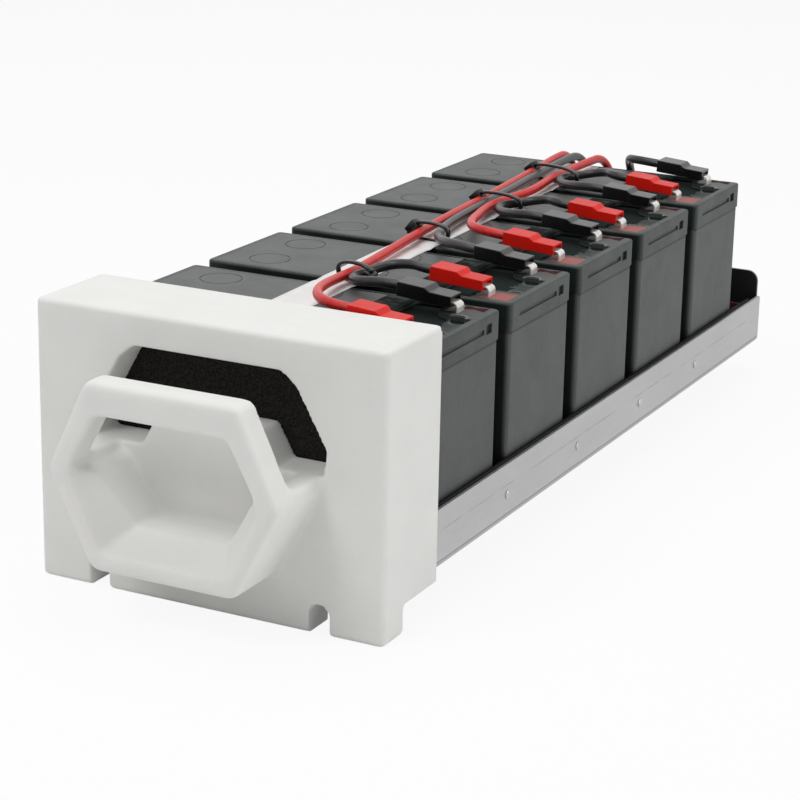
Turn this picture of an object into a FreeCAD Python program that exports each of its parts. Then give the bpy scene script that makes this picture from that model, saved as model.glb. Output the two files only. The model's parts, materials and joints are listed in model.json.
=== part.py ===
"""Battery cartridge for an uninterruptible power supply.

A moulded front bezel with a hexagonal ring handle closes the front of a folded sheet tray. The tray
holds a row of sealed batteries, wired over their tops to a plug-in connector at the rear.

Millimetres. +X is the right side seen from the front, +Y runs to the rear and +Z is up. The origin is
under the middle of the whole cartridge, on the surface that it stands on.
"""
import FreeCAD, Part
import math
import os

Vector = FreeCAD.Vector

# ---------------------------------------------------------------- batteries
battery_count = 5
battery_width = 65.0          # along Y
battery_height = 94.0         # without the blades
battery_gap = 10.5            # between neighbours
lid_height = 12.4
lid_overhang = 0.5            # the lid stands proud of the case all round
battery_corner = 2.6          # upright edges
lid_edge = 1.0                # top edge of the lid
cover_length = 96.0           # smooth plate over the cell vents
cover_thickness = 1.6
cover_margin = 3.2            # rim of the lid around the cover
vent_radius = 9.5             # round marks of the vents in the cover
vent_groove = 0.35
vent_spacing_x = 50.0
vent_spacing_y = 33.0
vent_first_x = 23.5           # from the left end of the battery
vent_rows = 2

# ---------------------------------------------------------------- terminals and their sleeves
terminal_inset_x = 13.2       # from the right end of the battery
terminal_front_y = 8.6        # positive blade, from the battery's front side
terminal_pitch = 44.4         # positive to negative
blade_width = 6.35
blade_thickness = 0.8
blade_rise = 3.6              # from the lid to the bent stretch
blade_reach = 8.0             # bent stretch
blade_root = 3.0              # depth of the blade in the lid
blade_tilt = 4.5              # degrees, the bent stretch rises towards the wire
terminal_pad_depth = 2.4      # depth of the well between the terminals
slot_width = 2.2              # slim recess in the lid's right end
slot_depth = 0.8
slot_from_front = 9.0
slot_from_back = 16.0
catch_width = 5.5             # square notch behind the slim recess
catch_height = 4.2
catch_from_back = 8.5
well_length = 34.0
well_rim = 3.4
well_scallop = 9.0            # radius of the lands around the blades
sleeve_clear = 0.3            # blade to sleeve
sleeve_start = 2.2            # from the blade's bend to the sleeve's mouth
sleeve_length = 25.2
sleeve_mouth_length = 10.2    # the slim end
sleeve_slope = 2.2
sleeve_mouth_width = 10.2
sleeve_mouth_height = 4.6
sleeve_barrel_width = 11.6
sleeve_barrel_height = 6.2
sleeve_floor = 1.3            # from the sleeve's underside to its blade slot

# ---------------------------------------------------------------- front bezel
bezel_width = 162.8
bezel_height = 121.6
bezel_depth = 46.7
bezel_wall = 3.0
bezel_edge = 2.2              # rounding of the outer edges
lip_depth = 17.4              # the front lip reaches lower than the rest
lip_height = 12.4
sill_thickness = 4.5          # bottom wall behind the lip
notch_radius = 4.6            # arched notches in the lip
notch_height = 13.0
notch_spacing = 104.0
battery_inset = 1.1           # the first battery reaches into the bezel

# ---------------------------------------------------------------- ring handle, part of the bezel
handle_projection = 35.0
handle_centre = 62.5          # height of the side corners
handle_half_width = 53.5      # at the side corners
handle_top = 101.8
handle_top_half = 35.0
handle_bottom = 22.6
handle_bottom_half = 33.0
handle_bar_depth = 14.0       # free upper half of the ring
handle_arm = 10.5             # width of the ring at the side corners
ring_arm_taper = 1.13         # the arms grow wider by this towards the bar
handle_bar_height = 13.8
handle_edge = 3.2             # rounding of the ring
bowl_rim = 7.6                # front face left below the bowl's chamfer
bowl_rim_side = 8.9           # the same at the side corners, along X
bowl_rim_half = 29.3          # the chamfer's front edge at its lower corners
bowl_depth = 17.0             # of the chamfer at the bottom
bowl_depth_side = 10.0        # of the chamfer at the side corners
bowl_half_width = 36.2        # opening behind the chamfer, at the side corners
bowl_side_drop = 1.3          # those corners lie below the handle's
bowl_floor = 38.8             # bottom of that opening
bowl_floor_half = 21.5
grip_wall = 3.0               # flat wall behind the ring
grip_wall_top = 80.8
grip_wall_half = 31.3
grip_wall_top_half = 23.6
window_margin = 6.0           # the window outside the ring's outline, at its top
window_half_width = 54.6
window_side_z = 78.0
window_corner = 7.2
shelf_height = 67.0           # foot of the window at each side
foam_setback = 18.0           # from the bezel's face to the foam
foam_clear = 0.3

# ---------------------------------------------------------------- tray
tray_width = 160.4
tray_thickness = 1.5
tray_wall_height = 25.9
tray_bend = 2.4               # outer radius of the folds
tray_corner = 4.0             # rear corners of the side walls
tongue_length = 27.0          # the floor reaches into the bezel
tongue_side_clear = 3.0
tongue_rise = 0.3             # joggle of the tongue above the tray's underside
rear_bay = 38.3               # behind the last battery
floor_liner = 0.4
right_liner_thickness = 1.1   # the batteries stand against this side
left_liner_thickness = 4.7
battery_side_clear = 0.3      # from a side liner to the lids
side_liner_above = 1.4        # above the side walls
spacer_clear = 0.15
spacer_height = 62.0
spacer_length = 120.0
spacer_wall = 2.4
rivet_radius = 2.1
rivet_head = 0.7
rivet_shank = 1.5
rivet_first = 117.5           # from the bezel's face
rivet_pitch = 77.5
rivet_height = 11.8           # above the tray's underside
rivet_count = 4
bezel_screw_radius = 2.0
bezel_screw_head = 3.6
bezel_screw_head_height = 2.2
bezel_screw_half_spacing = 52.0
bezel_screw_back = 10.0       # from the bezel's rear edge

# ---------------------------------------------------------------- rear panel and connector
panel_thickness = 1.5
panel_height = 39.6           # above the tray's underside
panel_corner = 6.0
panel_side_clear = 0.2
panel_foot = 12.0
panel_screw_half_spacing = 60.0
insulator_thickness = 2.0
insulator_half_width = 71.0
insulator_height = 20.6
connector_width = 52.0
connector_height = 15.0
connector_flange = 8.0        # flange beyond the body at each side
connector_flange_thickness = 2.0
connector_stand_off = 6.6     # behind the panel
connector_inner = 3.4         # in front of the panel
connector_low = 22.6          # underside above the tray's underside
connector_wall = 2.0
contact_pitch = 11.0
contact_count = 4
contact_width = 6.0
contact_thickness = 1.6
contact_setback = 1.2
connector_clear = 0.2

# ---------------------------------------------------------------- wires, ties and tape
wire_diameter = 4.4
tie_width = 3.6
tie_thickness = 1.1
tie_height = 7.6
tie_head = 6.0
tie_head_height = 4.6
# Each tie: its middle along X, its place behind the bezel's face, and half its width over the wires beside each other.
tie_places = [(5.0, 119.5, 9.5), (-2.0, 206.5, 11.5), (-3.6, 283.0, 14.0), (-7.4, 360.2, 16.0)]
wire_lead = 9.0               # straight out of a sleeve
jumper_lead = 8.0
jumper_end_lead = 6.0
tape_width = 20.0
tape_front_x = 9.0            # right edge of the tape at its two ends
tape_back_x = -1.0
tape_front_inset = 2.0        # from the row's ends
tape_back_inset = 3.0
tape_thickness = 0.25

# ---------------------------------------------------------------- places worked out from the sizes
battery_length = tray_width - 2 * (tray_thickness + battery_side_clear) - right_liner_thickness - left_liner_thickness
battery_pitch = battery_width + battery_gap
row_length = battery_count * battery_pitch - battery_gap
tray_reach = bezel_depth - battery_inset + row_length + rear_bay
overall_length = handle_projection + tray_reach + connector_stand_off
face_y = handle_projection - overall_length / 2
bezel_back = face_y + bezel_depth
row_start = bezel_back - battery_inset
tray_back = face_y + tray_reach
tray_low = lip_height + sill_thickness
floor_top = tray_low + tray_thickness
tray_top = tray_low + tray_wall_height
battery_low = floor_top + floor_liner
battery_top = battery_low + battery_height
lid_low = battery_top - lid_height
right_end = tray_width / 2 - tray_thickness - right_liner_thickness - battery_side_clear
left_end = right_end - battery_length


def battery_front(index):
    """Front side of a battery, along Y."""
    return row_start + index * battery_pitch


def box(low, high):
    """Box between two corners, given as (x, y, z)."""
    size = [b - a for a, b in zip(low, high)]
    return Part.makeBox(*size, Vector(*low))


def face_of(points):
    """Flat face bounded by straight edges through the points."""
    corners = [Vector(*p) for p in points]
    return Part.Face(Part.makePolygon(corners + corners[:1]))


def front_outline(points, y, depth):
    """Prism of an outline of (x, z) points, from the plane y towards the rear by depth."""
    return face_of([(x, y, z) for x, z in points]).extrude(Vector(0, depth, 0))


def edges_along(shape, axis):
    """Straight edges of a shape that run along an axis."""
    found = []
    for edge in shape.Edges:
        if not isinstance(edge.Curve, Part.Line):
            continue
        if abs(edge.tangentAt(edge.FirstParameter).dot(axis)) > 0.999:
            found.append(edge)
    return found


def one_solid(shape):
    """The single solid of a shape, with its coplanar faces merged."""
    clean = shape.removeSplitter()
    return clean.Solids[0] if len(clean.Solids) == 1 else clean


def mirrored(shape):
    """The shape on the other side of the cartridge's middle plane."""
    return shape.mirror(Vector(0, 0, 0), Vector(1, 0, 0))


# ================================================================ front bezel
def ring_outline(top, top_half, side_half, bottom, bottom_half):
    """Hexagon about the handle's middle, as (x, z) points."""
    return [
        (-top_half, top),
        (top_half, top),
        (side_half, handle_centre),
        (bottom_half, bottom),
        (-bottom_half, bottom),
        (-side_half, handle_centre),
    ]


def outer_ring():
    """Outline of the ring handle."""
    return ring_outline(handle_top, handle_top_half, handle_half_width, handle_bottom, handle_bottom_half)


def inner_ring():
    """Opening of the ring handle, wide between the arms and narrower in the bowl below them."""
    slope = (handle_half_width - handle_top_half) / (handle_top - handle_centre)
    top = handle_top - handle_bar_height
    top_half = handle_half_width - handle_arm * ring_arm_taper - (top - handle_centre) * slope
    right = [
        (top_half, top),
        (handle_half_width - handle_arm, handle_centre + bowl_side_drop),
        (bowl_half_width, handle_centre - bowl_side_drop),
        (bowl_floor_half, bowl_floor),
    ]
    return right + [(-x, z) for x, z in reversed(right)]


def window_outline():
    """Opening of the bezel above the handle's side corners."""
    top = handle_top + window_margin
    half = handle_top_half + window_margin
    return [
        (-half + window_corner, top),
        (half - window_corner, top),
        (half, top - window_corner * 0.8),
        (window_half_width, window_side_z),
        (handle_half_width, shelf_height),
        (-handle_half_width, shelf_height),
        (-window_half_width, window_side_z),
        (-half, top - window_corner * 0.8),
    ]


def window_walls():
    """Walls of the window, back to the foam."""
    inner = face_of([(x, face_y + bezel_wall, z) for x, z in window_outline()])
    wall = inner.makeOffset2D(bezel_wall).cut(inner)
    return wall.extrude(Vector(0, foam_setback - bezel_wall, 0))


def grip_outline(shrink=0.0):
    """Flat wall behind the ring, from the shelf up."""
    return [
        (-grip_wall_top_half + shrink, grip_wall_top - shrink),
        (grip_wall_top_half - shrink, grip_wall_top - shrink),
        (grip_wall_half - shrink, shelf_height),
        (grip_wall_half - shrink, shelf_height - sill_thickness),
        (-grip_wall_half + shrink, shelf_height - sill_thickness),
        (-grip_wall_half + shrink, shelf_height),
    ]


def bezel_shell():
    """Outer shell of the bezel, open to the rear, with its low front lip."""
    half = bezel_width / 2
    block = box((-half, face_y, 0), (half, bezel_back, bezel_height))
    step = box((-half, face_y + lip_depth, 0), (half, bezel_back, lip_height))
    block = block.cut(step)
    block = block.makeFillet(bezel_edge, [e for e in block.Edges if e.BoundBox.YMin < face_y + 0.01])
    hollow = box(
        (-half + bezel_wall, face_y + bezel_wall, tray_low + tongue_rise),
        (half - bezel_wall, bezel_back, bezel_height - bezel_wall),
    )
    return block.cut(hollow)


def lip_notch(x):
    """Arched notch through the lip."""
    arch = notch_height - notch_radius
    slot = box((x - notch_radius, face_y - 1, -1), (x + notch_radius, face_y + lip_depth + 1, arch))
    top = Part.makeCylinder(notch_radius, lip_depth + 2, Vector(x, face_y - 1, arch), Vector(0, 1, 0))
    return slot.fuse(top)


def ring_solid():
    """Ring handle: a free bar in its upper half and a skirt down to the bezel in its lower half."""
    front = face_y - handle_projection
    body = front_outline(outer_ring(), front, handle_projection + bezel_wall)
    body = body.makeFillet(handle_edge * 1.6, edges_along(body, Vector(0, 1, 0)))
    rim = [e for e in body.Edges if e.BoundBox.YMax < front + 0.01]
    body = body.makeFillet(handle_edge, rim)
    hole = front_outline(inner_ring(), front - 1, handle_projection + 1)
    hole = hole.makeFillet(handle_edge, edges_along(hole, Vector(0, 1, 0)))
    return body.cut(hole)


def bowl_bevel():
    """Cutter for the broad chamfer inside the ring's lower half, deepest at its bottom."""
    front = face_y - handle_projection
    _, (upper_x, upper_z), (side_x, side_z), (low_x, low_z) = inner_ring()[:4]
    upper = (upper_x, front, upper_z)
    rim_side = (handle_half_width - bowl_rim_side, front, handle_centre)
    rim_low = (bowl_rim_half, front, handle_bottom + bowl_rim)
    deep_side = (side_x, front + bowl_depth_side, side_z)
    deep_low = (low_x, front + bowl_depth, low_z)

    def other(point):
        """The point on the other side of the middle plane."""
        return -point[0], point[1], point[2]

    faces = [
        face_of([upper, rim_side, rim_low, other(rim_low), other(rim_side), other(upper)]),
        face_of([rim_low, deep_low, other(deep_low), other(rim_low)]),
        face_of([deep_low, deep_side, other(deep_side), other(deep_low)]),
        face_of([deep_side, upper, other(upper), other(deep_side)]),
    ]
    for corners in ((rim_side, deep_side, upper), (rim_side, deep_low, deep_side), (rim_side, rim_low, deep_low)):
        faces.append(face_of(corners))
        faces.append(face_of([other(corner) for corner in corners]))
    return Part.makeSolid(Part.makeShell(faces))


def finger_space():
    """Cutter that frees the upper half of the ring from the bezel."""
    front = face_y - handle_projection + handle_bar_depth
    space = box(
        (-bezel_width / 2, front, shelf_height),
        (bezel_width / 2, face_y + foam_setback, bezel_height),
    )
    soft = [e for e in edges_along(space, Vector(1, 0, 0)) if abs(e.BoundBox.ZMin - shelf_height) < 0.01]
    return space.makeFillet(handle_edge, [e for e in soft if e.BoundBox.YMax < face_y])


def grip_pocket():
    """Flat wall behind the ring with its return back to the foam, hollow from the rear."""
    block = front_outline(grip_outline(), face_y, foam_setback)
    soft = [e for e in block.Edges if e.BoundBox.YMax < face_y + 0.01 and e.BoundBox.ZMin > shelf_height - 0.01]
    soft += [e for e in edges_along(block, Vector(0, 1, 0)) if e.BoundBox.ZMin > shelf_height + 1]
    block = block.makeFillet(handle_edge, soft)
    hollow = front_outline(grip_outline(grip_wall), face_y + grip_wall, foam_setback)
    return block.cut(hollow)


def shelves():
    """Ledges at the foot of the window, back to the foam."""
    low = shelf_height - grip_wall
    right = box((grip_wall_half - grip_wall, face_y, low), (window_half_width, face_y + foam_setback, shelf_height))
    return right.fuse(mirrored(right))


def front_bezel():
    """Bezel and ring handle, moulded in one piece."""
    body = bezel_shell()
    body = body.cut(front_outline(window_outline(), face_y - 1, bezel_wall + 2))
    ring = ring_solid().cut(finger_space()).cut(bowl_bevel())
    body = body.fuse([window_walls(), ring, grip_pocket(), shelves()])
    for side in (-1, 1):
        body = body.cut(lip_notch(side * notch_spacing / 2))
        body = body.cut(bezel_screw_hole(side))
    return one_solid(body)


def bezel_screw_place(side):
    """Middle of a screw through the tray's tongue, as (x, y)."""
    return side * bezel_screw_half_spacing, bezel_back - bezel_screw_back


def bezel_screw_hole(side):
    """Hole for a screw, through the bezel's bottom wall and the tray's tongue."""
    x, y = bezel_screw_place(side)
    return Part.makeCylinder(bezel_screw_radius, sill_thickness + 2, Vector(x, y, lip_height - 1))


def bezel_foam():
    """Foam block between the bezel and the first battery."""
    half = bezel_width / 2 - bezel_wall - foam_clear
    return box(
        (-half, face_y + foam_setback, floor_top + tongue_rise + foam_clear),
        (half, row_start - foam_clear, bezel_height - bezel_wall - foam_clear),
    )


def bezel_screws():
    """Screws that hold the bezel to the tray's tongue."""
    screws = []
    for side in (-1, 1):
        x, y = bezel_screw_place(side)
        low = lip_height
        shank = Part.makeCylinder(bezel_screw_radius, floor_top + tongue_rise - low, Vector(x, y, low))
        head_low = Vector(x, y, low - bezel_screw_head_height)
        head = Part.makeCylinder(bezel_screw_head, bezel_screw_head_height, head_low)
        head = head.makeFillet(bezel_screw_head_height * 0.4, [head.Edges[2]])
        screws.append(one_solid(shank.fuse(head)))
    return Part.makeCompound(screws)


# ================================================================ tray
def tray():
    """Folded sheet tray with low side walls and a tongue into the bezel."""
    half = tray_width / 2
    length = tray_back - bezel_back
    outer = box((-half, bezel_back, tray_low), (half, tray_back, tray_top))
    outer = outer.makeFillet(tray_bend, [e for e in edges_along(outer, Vector(0, 1, 0)) if e.BoundBox.ZMax < tray_low + 1])
    inner = box(
        (-half + tray_thickness, bezel_back - 1, floor_top),
        (half - tray_thickness, tray_back + 1, tray_top + 1),
    )
    bottom = [e for e in edges_along(inner, Vector(0, 1, 0)) if e.BoundBox.ZMax < floor_top + 1]
    inner = inner.makeFillet(tray_bend - tray_thickness, bottom)
    sheet = outer.cut(inner)
    rear = []
    for edge in edges_along(sheet, Vector(1, 0, 0)):
        if edge.BoundBox.YMin > tray_back - 0.01 and edge.BoundBox.ZMin > tray_top - 0.01:
            rear.append(edge)
    sheet = sheet.makeFillet(tray_corner * 0.4, rear)
    sheet = sheet.cut(rear_corner_cut())
    tongue_half = half - tray_bend - tongue_side_clear
    tongue = box(
        (-tongue_half, bezel_back - tongue_length, tray_low + tongue_rise),
        (tongue_half, bezel_back, floor_top + tongue_rise),
    )
    sheet = sheet.fuse(tongue)
    for side in (-1, 1):
        x, y = bezel_screw_place(side)
        sheet = sheet.cut(Part.makeCylinder(bezel_screw_radius, length, Vector(x, y, tray_low - 1)))
        sheet = sheet.cut(panel_screw_shank(side, 2.0))
    for rivet in rivet_shapes(rivet_shank):
        sheet = sheet.cut(rivet)
    return one_solid(sheet)


def rear_corner_cut():
    """Cutter that rounds the lower rear corner of the folded sheet."""
    half = tray_width / 2 + 1
    block = box((-half, tray_back - tray_corner, tray_low - 1), (half, tray_back + 1, tray_low + tray_corner))
    centre = Vector(-half, tray_back - tray_corner, tray_low + tray_corner)
    return block.cut(Part.makeCylinder(tray_corner, 2 * half, centre, Vector(1, 0, 0)))


def rivet_shapes(radius):
    """Cylinders along X through both side walls, one for each rivet."""
    shapes = []
    half = tray_width / 2
    length = tray_thickness + right_liner_thickness * 0.5
    for index in range(rivet_count):
        y = face_y + rivet_first + index * rivet_pitch
        place = Vector(half - length, y, tray_low + rivet_height)
        right = Part.makeCylinder(radius, length, place, Vector(1, 0, 0))
        shapes += [right, mirrored(right)]
    return shapes


def side_rivets():
    """Rivets that hold the side liners to the tray's walls."""
    rivets = []
    half = tray_width / 2
    for shank in rivet_shapes(rivet_shank):
        side = 1 if shank.BoundBox.XMin > 0 else -1
        middle = shank.BoundBox.Center
        base = Vector(side * half, middle.y, middle.z)
        head = Part.makeCylinder(rivet_radius, rivet_head, base, Vector(side, 0, 0))
        far = [e for e in head.Edges if abs(e.BoundBox.Center.x - side * (half + rivet_head)) < 0.01]
        head = head.makeFillet(rivet_head * 0.7, far[:1])
        rivets.append(one_solid(shank.fuse(head)))
    return Part.makeCompound(rivets)


def side_liner(side):
    """Black strip between a side wall and the batteries."""
    outer = tray_width / 2 - tray_thickness
    inner = outer - (right_liner_thickness if side > 0 else left_liner_thickness)
    strip = box(
        (inner, bezel_back + foam_clear, floor_top + tray_bend),
        (outer, tray_back - panel_foot - panel_thickness - 1, tray_top + side_liner_above),
    )
    if side < 0:
        strip = mirrored(strip)
    for rivet in rivet_shapes(rivet_shank):
        strip = strip.cut(rivet)
    return one_solid(strip)


def floor_pad():
    """Thin insulating sheet on the tray's floor, under the batteries."""
    half = tray_width / 2 - tray_thickness - tray_bend
    back = tray_back - panel_thickness - panel_foot - insulator_thickness
    return box((-half, bezel_back, floor_top), (half, back, battery_low))


def battery_spacer(index):
    """Channel-shaped divider that stands between two batteries."""
    front = battery_front(index) + battery_width + spacer_clear
    back = battery_front(index + 1) - spacer_clear
    half = spacer_length / 2
    block = box((-half, front, battery_low), (half, back, battery_low + spacer_height))
    hollow = box(
        (-half - 1, front + spacer_wall, battery_low - 1),
        (half + 1, back - spacer_wall, battery_low + spacer_height - spacer_wall),
    )
    return block.cut(hollow)


# ================================================================ batteries
def battery_case(index):
    """Lower box of a battery."""
    front = battery_front(index)
    trim = lid_overhang
    case = box(
        (left_end + trim, front + trim, battery_low),
        (right_end - trim, front + battery_width - trim, lid_low),
    )
    return case.makeFillet(battery_corner, edges_along(case, Vector(0, 0, 1)))


def cover_low_corner(index):
    """Lower left corner of a battery's cover, as (x, y, z)."""
    return left_end + cover_margin, battery_front(index) + cover_margin, battery_top - cover_thickness


def cover_high_corner(index):
    """Upper right corner of a battery's cover, as (x, y, z)."""
    x = left_end + cover_margin + cover_length
    return x, battery_front(index) + battery_width - cover_margin, battery_top


def battery_lid(index):
    """Lid with its recess for the cover, its terminal well and the slot of its right end."""
    front = battery_front(index)
    lid = box((left_end, front, lid_low), (right_end, front + battery_width, battery_top))
    lid = lid.makeFillet(battery_corner, edges_along(lid, Vector(0, 0, 1)))
    lid = lid.makeFillet(lid_edge, [e for e in lid.Edges if e.BoundBox.ZMin > battery_top - 0.01])
    lid = lid.cut(box(cover_low_corner(index), cover_high_corner(index)))
    lid = lid.cut(terminal_well(index))
    lid = lid.cut(end_slot(index))
    for sign in (0, 1):
        lid = lid.cut(blade_root_box(index, sign))
    return one_solid(lid)


def terminal_well(index):
    """Sunk area between the two blades, drawn in around each of them."""
    low_y = battery_front(index) + well_rim
    high_y = battery_front(index) + battery_width - well_rim
    high_x = right_end - well_rim
    well = box((high_x - well_length, low_y, battery_top - terminal_pad_depth), (high_x, high_y, battery_top + 1))
    well = well.makeFillet(battery_corner, edges_along(well, Vector(0, 0, 1)))
    for sign in (0, 1):
        x, y = terminal_place(index, sign)
        floor = Vector(x, y, battery_top - terminal_pad_depth - 1)
        land = Part.makeCylinder(well_scallop, terminal_pad_depth + 3, floor)
        outward = box(
            (x, y - well_scallop, floor.z),
            (right_end, y + well_scallop, battery_top + 2),
        )
        well = well.cut(land).cut(outward)
    return well


def end_slot(index):
    """Long slim recess and small square notch in the right end of the lid."""
    front = battery_front(index)
    middle = (lid_low + battery_top) / 2
    half = slot_width / 2
    slot = box(
        (right_end - slot_depth, front + slot_from_front, middle - half),
        (right_end + 1, front + battery_width - slot_from_back, middle + half),
    )
    back = front + battery_width - catch_from_back
    notch = box(
        (right_end - 2 * slot_depth, back - catch_width, middle - catch_height * 0.43),
        (right_end + 1, back, middle + catch_height * 0.57),
    )
    return slot.fuse(notch)


def battery_cover(index):
    """Smooth plate over the cell vents, with a round mark over each vent near its ends."""
    low = cover_low_corner(index)
    cover = box(low, cover_high_corner(index))
    middle_y = battery_front(index) + battery_width / 2
    for row in range(vent_rows):
        x = left_end + vent_first_x + row * vent_spacing_x
        for side in (-1, 1):
            base = Vector(x, middle_y + side * vent_spacing_y / 2, battery_top - vent_groove)
            ring = Part.makeCylinder(vent_radius, vent_groove + 1, base)
            ring = ring.cut(Part.makeCylinder(vent_radius - vent_groove * 1.5, vent_groove + 1, base))
            cover = cover.cut(ring)
    return one_solid(cover)


# ================================================================ terminals and sleeves
def terminal_place(index, sign):
    """Middle of a blade, as (x, y). Sign 0 is the positive one in front, 1 the negative one behind."""
    return right_end - terminal_inset_x, battery_front(index) + terminal_front_y + sign * terminal_pitch


def blade_root_box(index, sign):
    """Stretch of a blade inside the lid."""
    x, y = terminal_place(index, sign)
    return box(
        (x - blade_thickness / 2, y - blade_width / 2, battery_top - blade_root),
        (x + blade_thickness / 2, y + blade_width / 2, battery_top),
    )


def tilted(shape, x, z):
    """The shape turned about Y so that its left end rises by the blade's tilt."""
    turned = shape.copy()
    turned.rotate(Vector(x, 0, z), Vector(0, 1, 0), blade_tilt)
    return turned


def blade(index, sign):
    """Flat blade, bent over towards the left above the lid."""
    x, y = terminal_place(index, sign)
    half = blade_width / 2
    right = x + blade_thickness / 2
    top = battery_top + blade_rise + blade_thickness
    upright = box((x - blade_thickness / 2, y - half, battery_top - blade_root), (right, y + half, top))
    bent = box((x - blade_reach, y - half, top - blade_thickness), (right, y + half, top))
    bent = tilted(bent, right, top)
    both = upright.fuse(bent).removeSplitter()
    corner = []
    for edge in edges_along(both, Vector(0, 1, 0)):
        middle = edge.BoundBox.Center
        if abs(middle.x - right) < 0.02 and abs(middle.z - top) < 0.02:
            corner.append(edge)
    return both.makeFillet(blade_thickness * 0.9, corner) if corner else both


def battery_terminals(index):
    """The two blades of a battery."""
    return Part.makeCompound([one_solid(blade(index, sign)) for sign in (0, 1)])


def sleeve_axis_z():
    """Underside of a sleeve before it is tilted."""
    return battery_top + blade_rise - sleeve_floor


def sleeve(index, sign):
    """Push-on insulating sleeve: a slim open mouth, a slope and a fuller barrel at the wire's end."""
    x, y = terminal_place(index, sign)
    right = x - sleeve_start
    left = right - sleeve_length
    low = sleeve_axis_z()
    step = right - sleeve_mouth_length
    profile = [
        (right, low),
        (right, low + sleeve_mouth_height),
        (step, low + sleeve_mouth_height),
        (step - sleeve_slope, low + sleeve_barrel_height),
        (left, low + sleeve_barrel_height),
        (left, low),
    ]
    side_view = face_of([(px, y - sleeve_barrel_width / 2, pz) for px, pz in profile])
    body = side_view.extrude(Vector(0, sleeve_barrel_width, 0))
    slim = (sleeve_barrel_width - sleeve_mouth_width) / 2
    for side in (-1, 1):
        wide = y + side * sleeve_barrel_width / 2
        trim = face_of([
            (right + 1, wide + side, low - 1),
            (right + 1, wide - side * slim, low - 1),
            (step, wide - side * slim, low - 1),
            (step - sleeve_slope, wide, low - 1),
            (step - sleeve_slope, wide + side, low - 1),
        ])
        body = body.cut(trim.extrude(Vector(0, 0, sleeve_barrel_height + 2)))
    slot_half = blade_width / 2 + sleeve_clear
    slot = box(
        (x - blade_reach - sleeve_clear, y - slot_half, low + sleeve_floor - sleeve_clear),
        (right + 1, y + slot_half, low + sleeve_floor + blade_thickness + sleeve_clear),
    )
    mouth_half = sleeve_mouth_width / 2 - 1.0
    mouth = box(
        (right - 2.6, y - mouth_half, low + 0.8),
        (right + 1, y + mouth_half, low + sleeve_mouth_height - 0.7),
    )
    body = body.cut(slot).cut(mouth)
    return one_solid(tilted(body, x + blade_thickness / 2, battery_top + blade_rise + blade_thickness))


def sleeve_exit(index, sign):
    """Point and direction in which a wire leaves its sleeve."""
    x, y = terminal_place(index, sign)
    pivot = Vector(x + blade_thickness / 2, y, battery_top + blade_rise + blade_thickness)
    start = Vector(x - sleeve_start - sleeve_length, y, sleeve_axis_z() + sleeve_barrel_height / 2)
    tilt = FreeCAD.Rotation(Vector(0, 1, 0), blade_tilt)
    return pivot + tilt.multVec(start - pivot), tilt.multVec(Vector(-1, 0, 0))


# ================================================================ rear panel and connector
def panel_screw_shank(side, radius):
    """Cylinder through the panel's foot and the tray's floor."""
    y = tray_back - panel_thickness - panel_foot / 2
    place = Vector(side * panel_screw_half_spacing, y, tray_low - 1)
    return Part.makeCylinder(radius, tray_thickness + panel_thickness + 2, place)


def connector_centre_z():
    """Middle of the rear connector."""
    return tray_low + connector_low + connector_height / 2


def connector_body_box(clear, low_y, high_y):
    """Block of the connector's body, widened by a clearance."""
    half = connector_width / 2 + clear
    high = connector_height / 2 + clear
    z = connector_centre_z()
    return box((-half, low_y, z - high), (half, high_y, z + high))


def rear_panel():
    """Black upright panel at the tray's rear, on a foot that stands on the floor."""
    half = tray_width / 2 - tray_thickness - panel_side_clear
    front = tray_back - panel_thickness
    plate = box((-half, front, floor_top), (half, tray_back, tray_low + panel_height))
    top = [e for e in edges_along(plate, Vector(0, 1, 0)) if e.BoundBox.ZMin > tray_low + panel_height - 0.01]
    plate = plate.makeFillet(panel_corner, top)
    foot_half = half - tray_bend
    foot = box((-foot_half, front - panel_foot, floor_top), (foot_half, front, floor_top + panel_thickness))
    plate = plate.fuse(foot)
    low = [e for e in edges_along(plate, Vector(0, 1, 0)) if e.BoundBox.ZMax < floor_top + 0.01]
    outer = [e for e in low if abs(e.BoundBox.Center.x) > half - 0.01]
    plate = plate.makeFillet(tray_bend, outer)
    plate = plate.cut(connector_body_box(connector_clear, front - 1, tray_back + 1))
    for side in (-1, 1):
        plate = plate.cut(panel_screw_shank(side, 2.0))
        plate = plate.cut(connector_screw_shank(side))
    return one_solid(plate)


def panel_screws():
    """Screws through the panel's foot and the tray's floor."""
    screws = []
    for side in (-1, 1):
        x = side * panel_screw_half_spacing
        y = tray_back - panel_thickness - panel_foot / 2
        seat = floor_top + panel_thickness
        shank = Part.makeCylinder(2.0, seat - tray_low, Vector(x, y, tray_low))
        head = Part.makeCylinder(3.4, 1.8, Vector(x, y, seat))
        head = head.makeFillet(0.8, [e for e in head.Edges if e.BoundBox.ZMin > seat + 1.7][:1])
        screws.append(one_solid(shank.fuse(head)))
    return Part.makeCompound(screws)


def rear_insulator():
    """Red-brown fibre board in front of the panel, standing on its foot."""
    back = tray_back - panel_thickness
    low = floor_top + panel_thickness
    board = box(
        (-insulator_half_width, back - insulator_thickness, low),
        (insulator_half_width, back, tray_low + insulator_height),
    )
    top = [e for e in edges_along(board, Vector(0, 1, 0)) if e.BoundBox.ZMin > low + 1]
    return board.makeFillet(3.0, top)


def connector_screw_shank(side):
    """Cylinder through the connector's flange and the panel."""
    x = side * (connector_width + connector_flange) / 2
    depth = panel_thickness + connector_flange_thickness
    return Part.makeCylinder(1.5, depth, Vector(x, tray_back - panel_thickness, connector_centre_z()), Vector(0, 1, 0))


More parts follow.
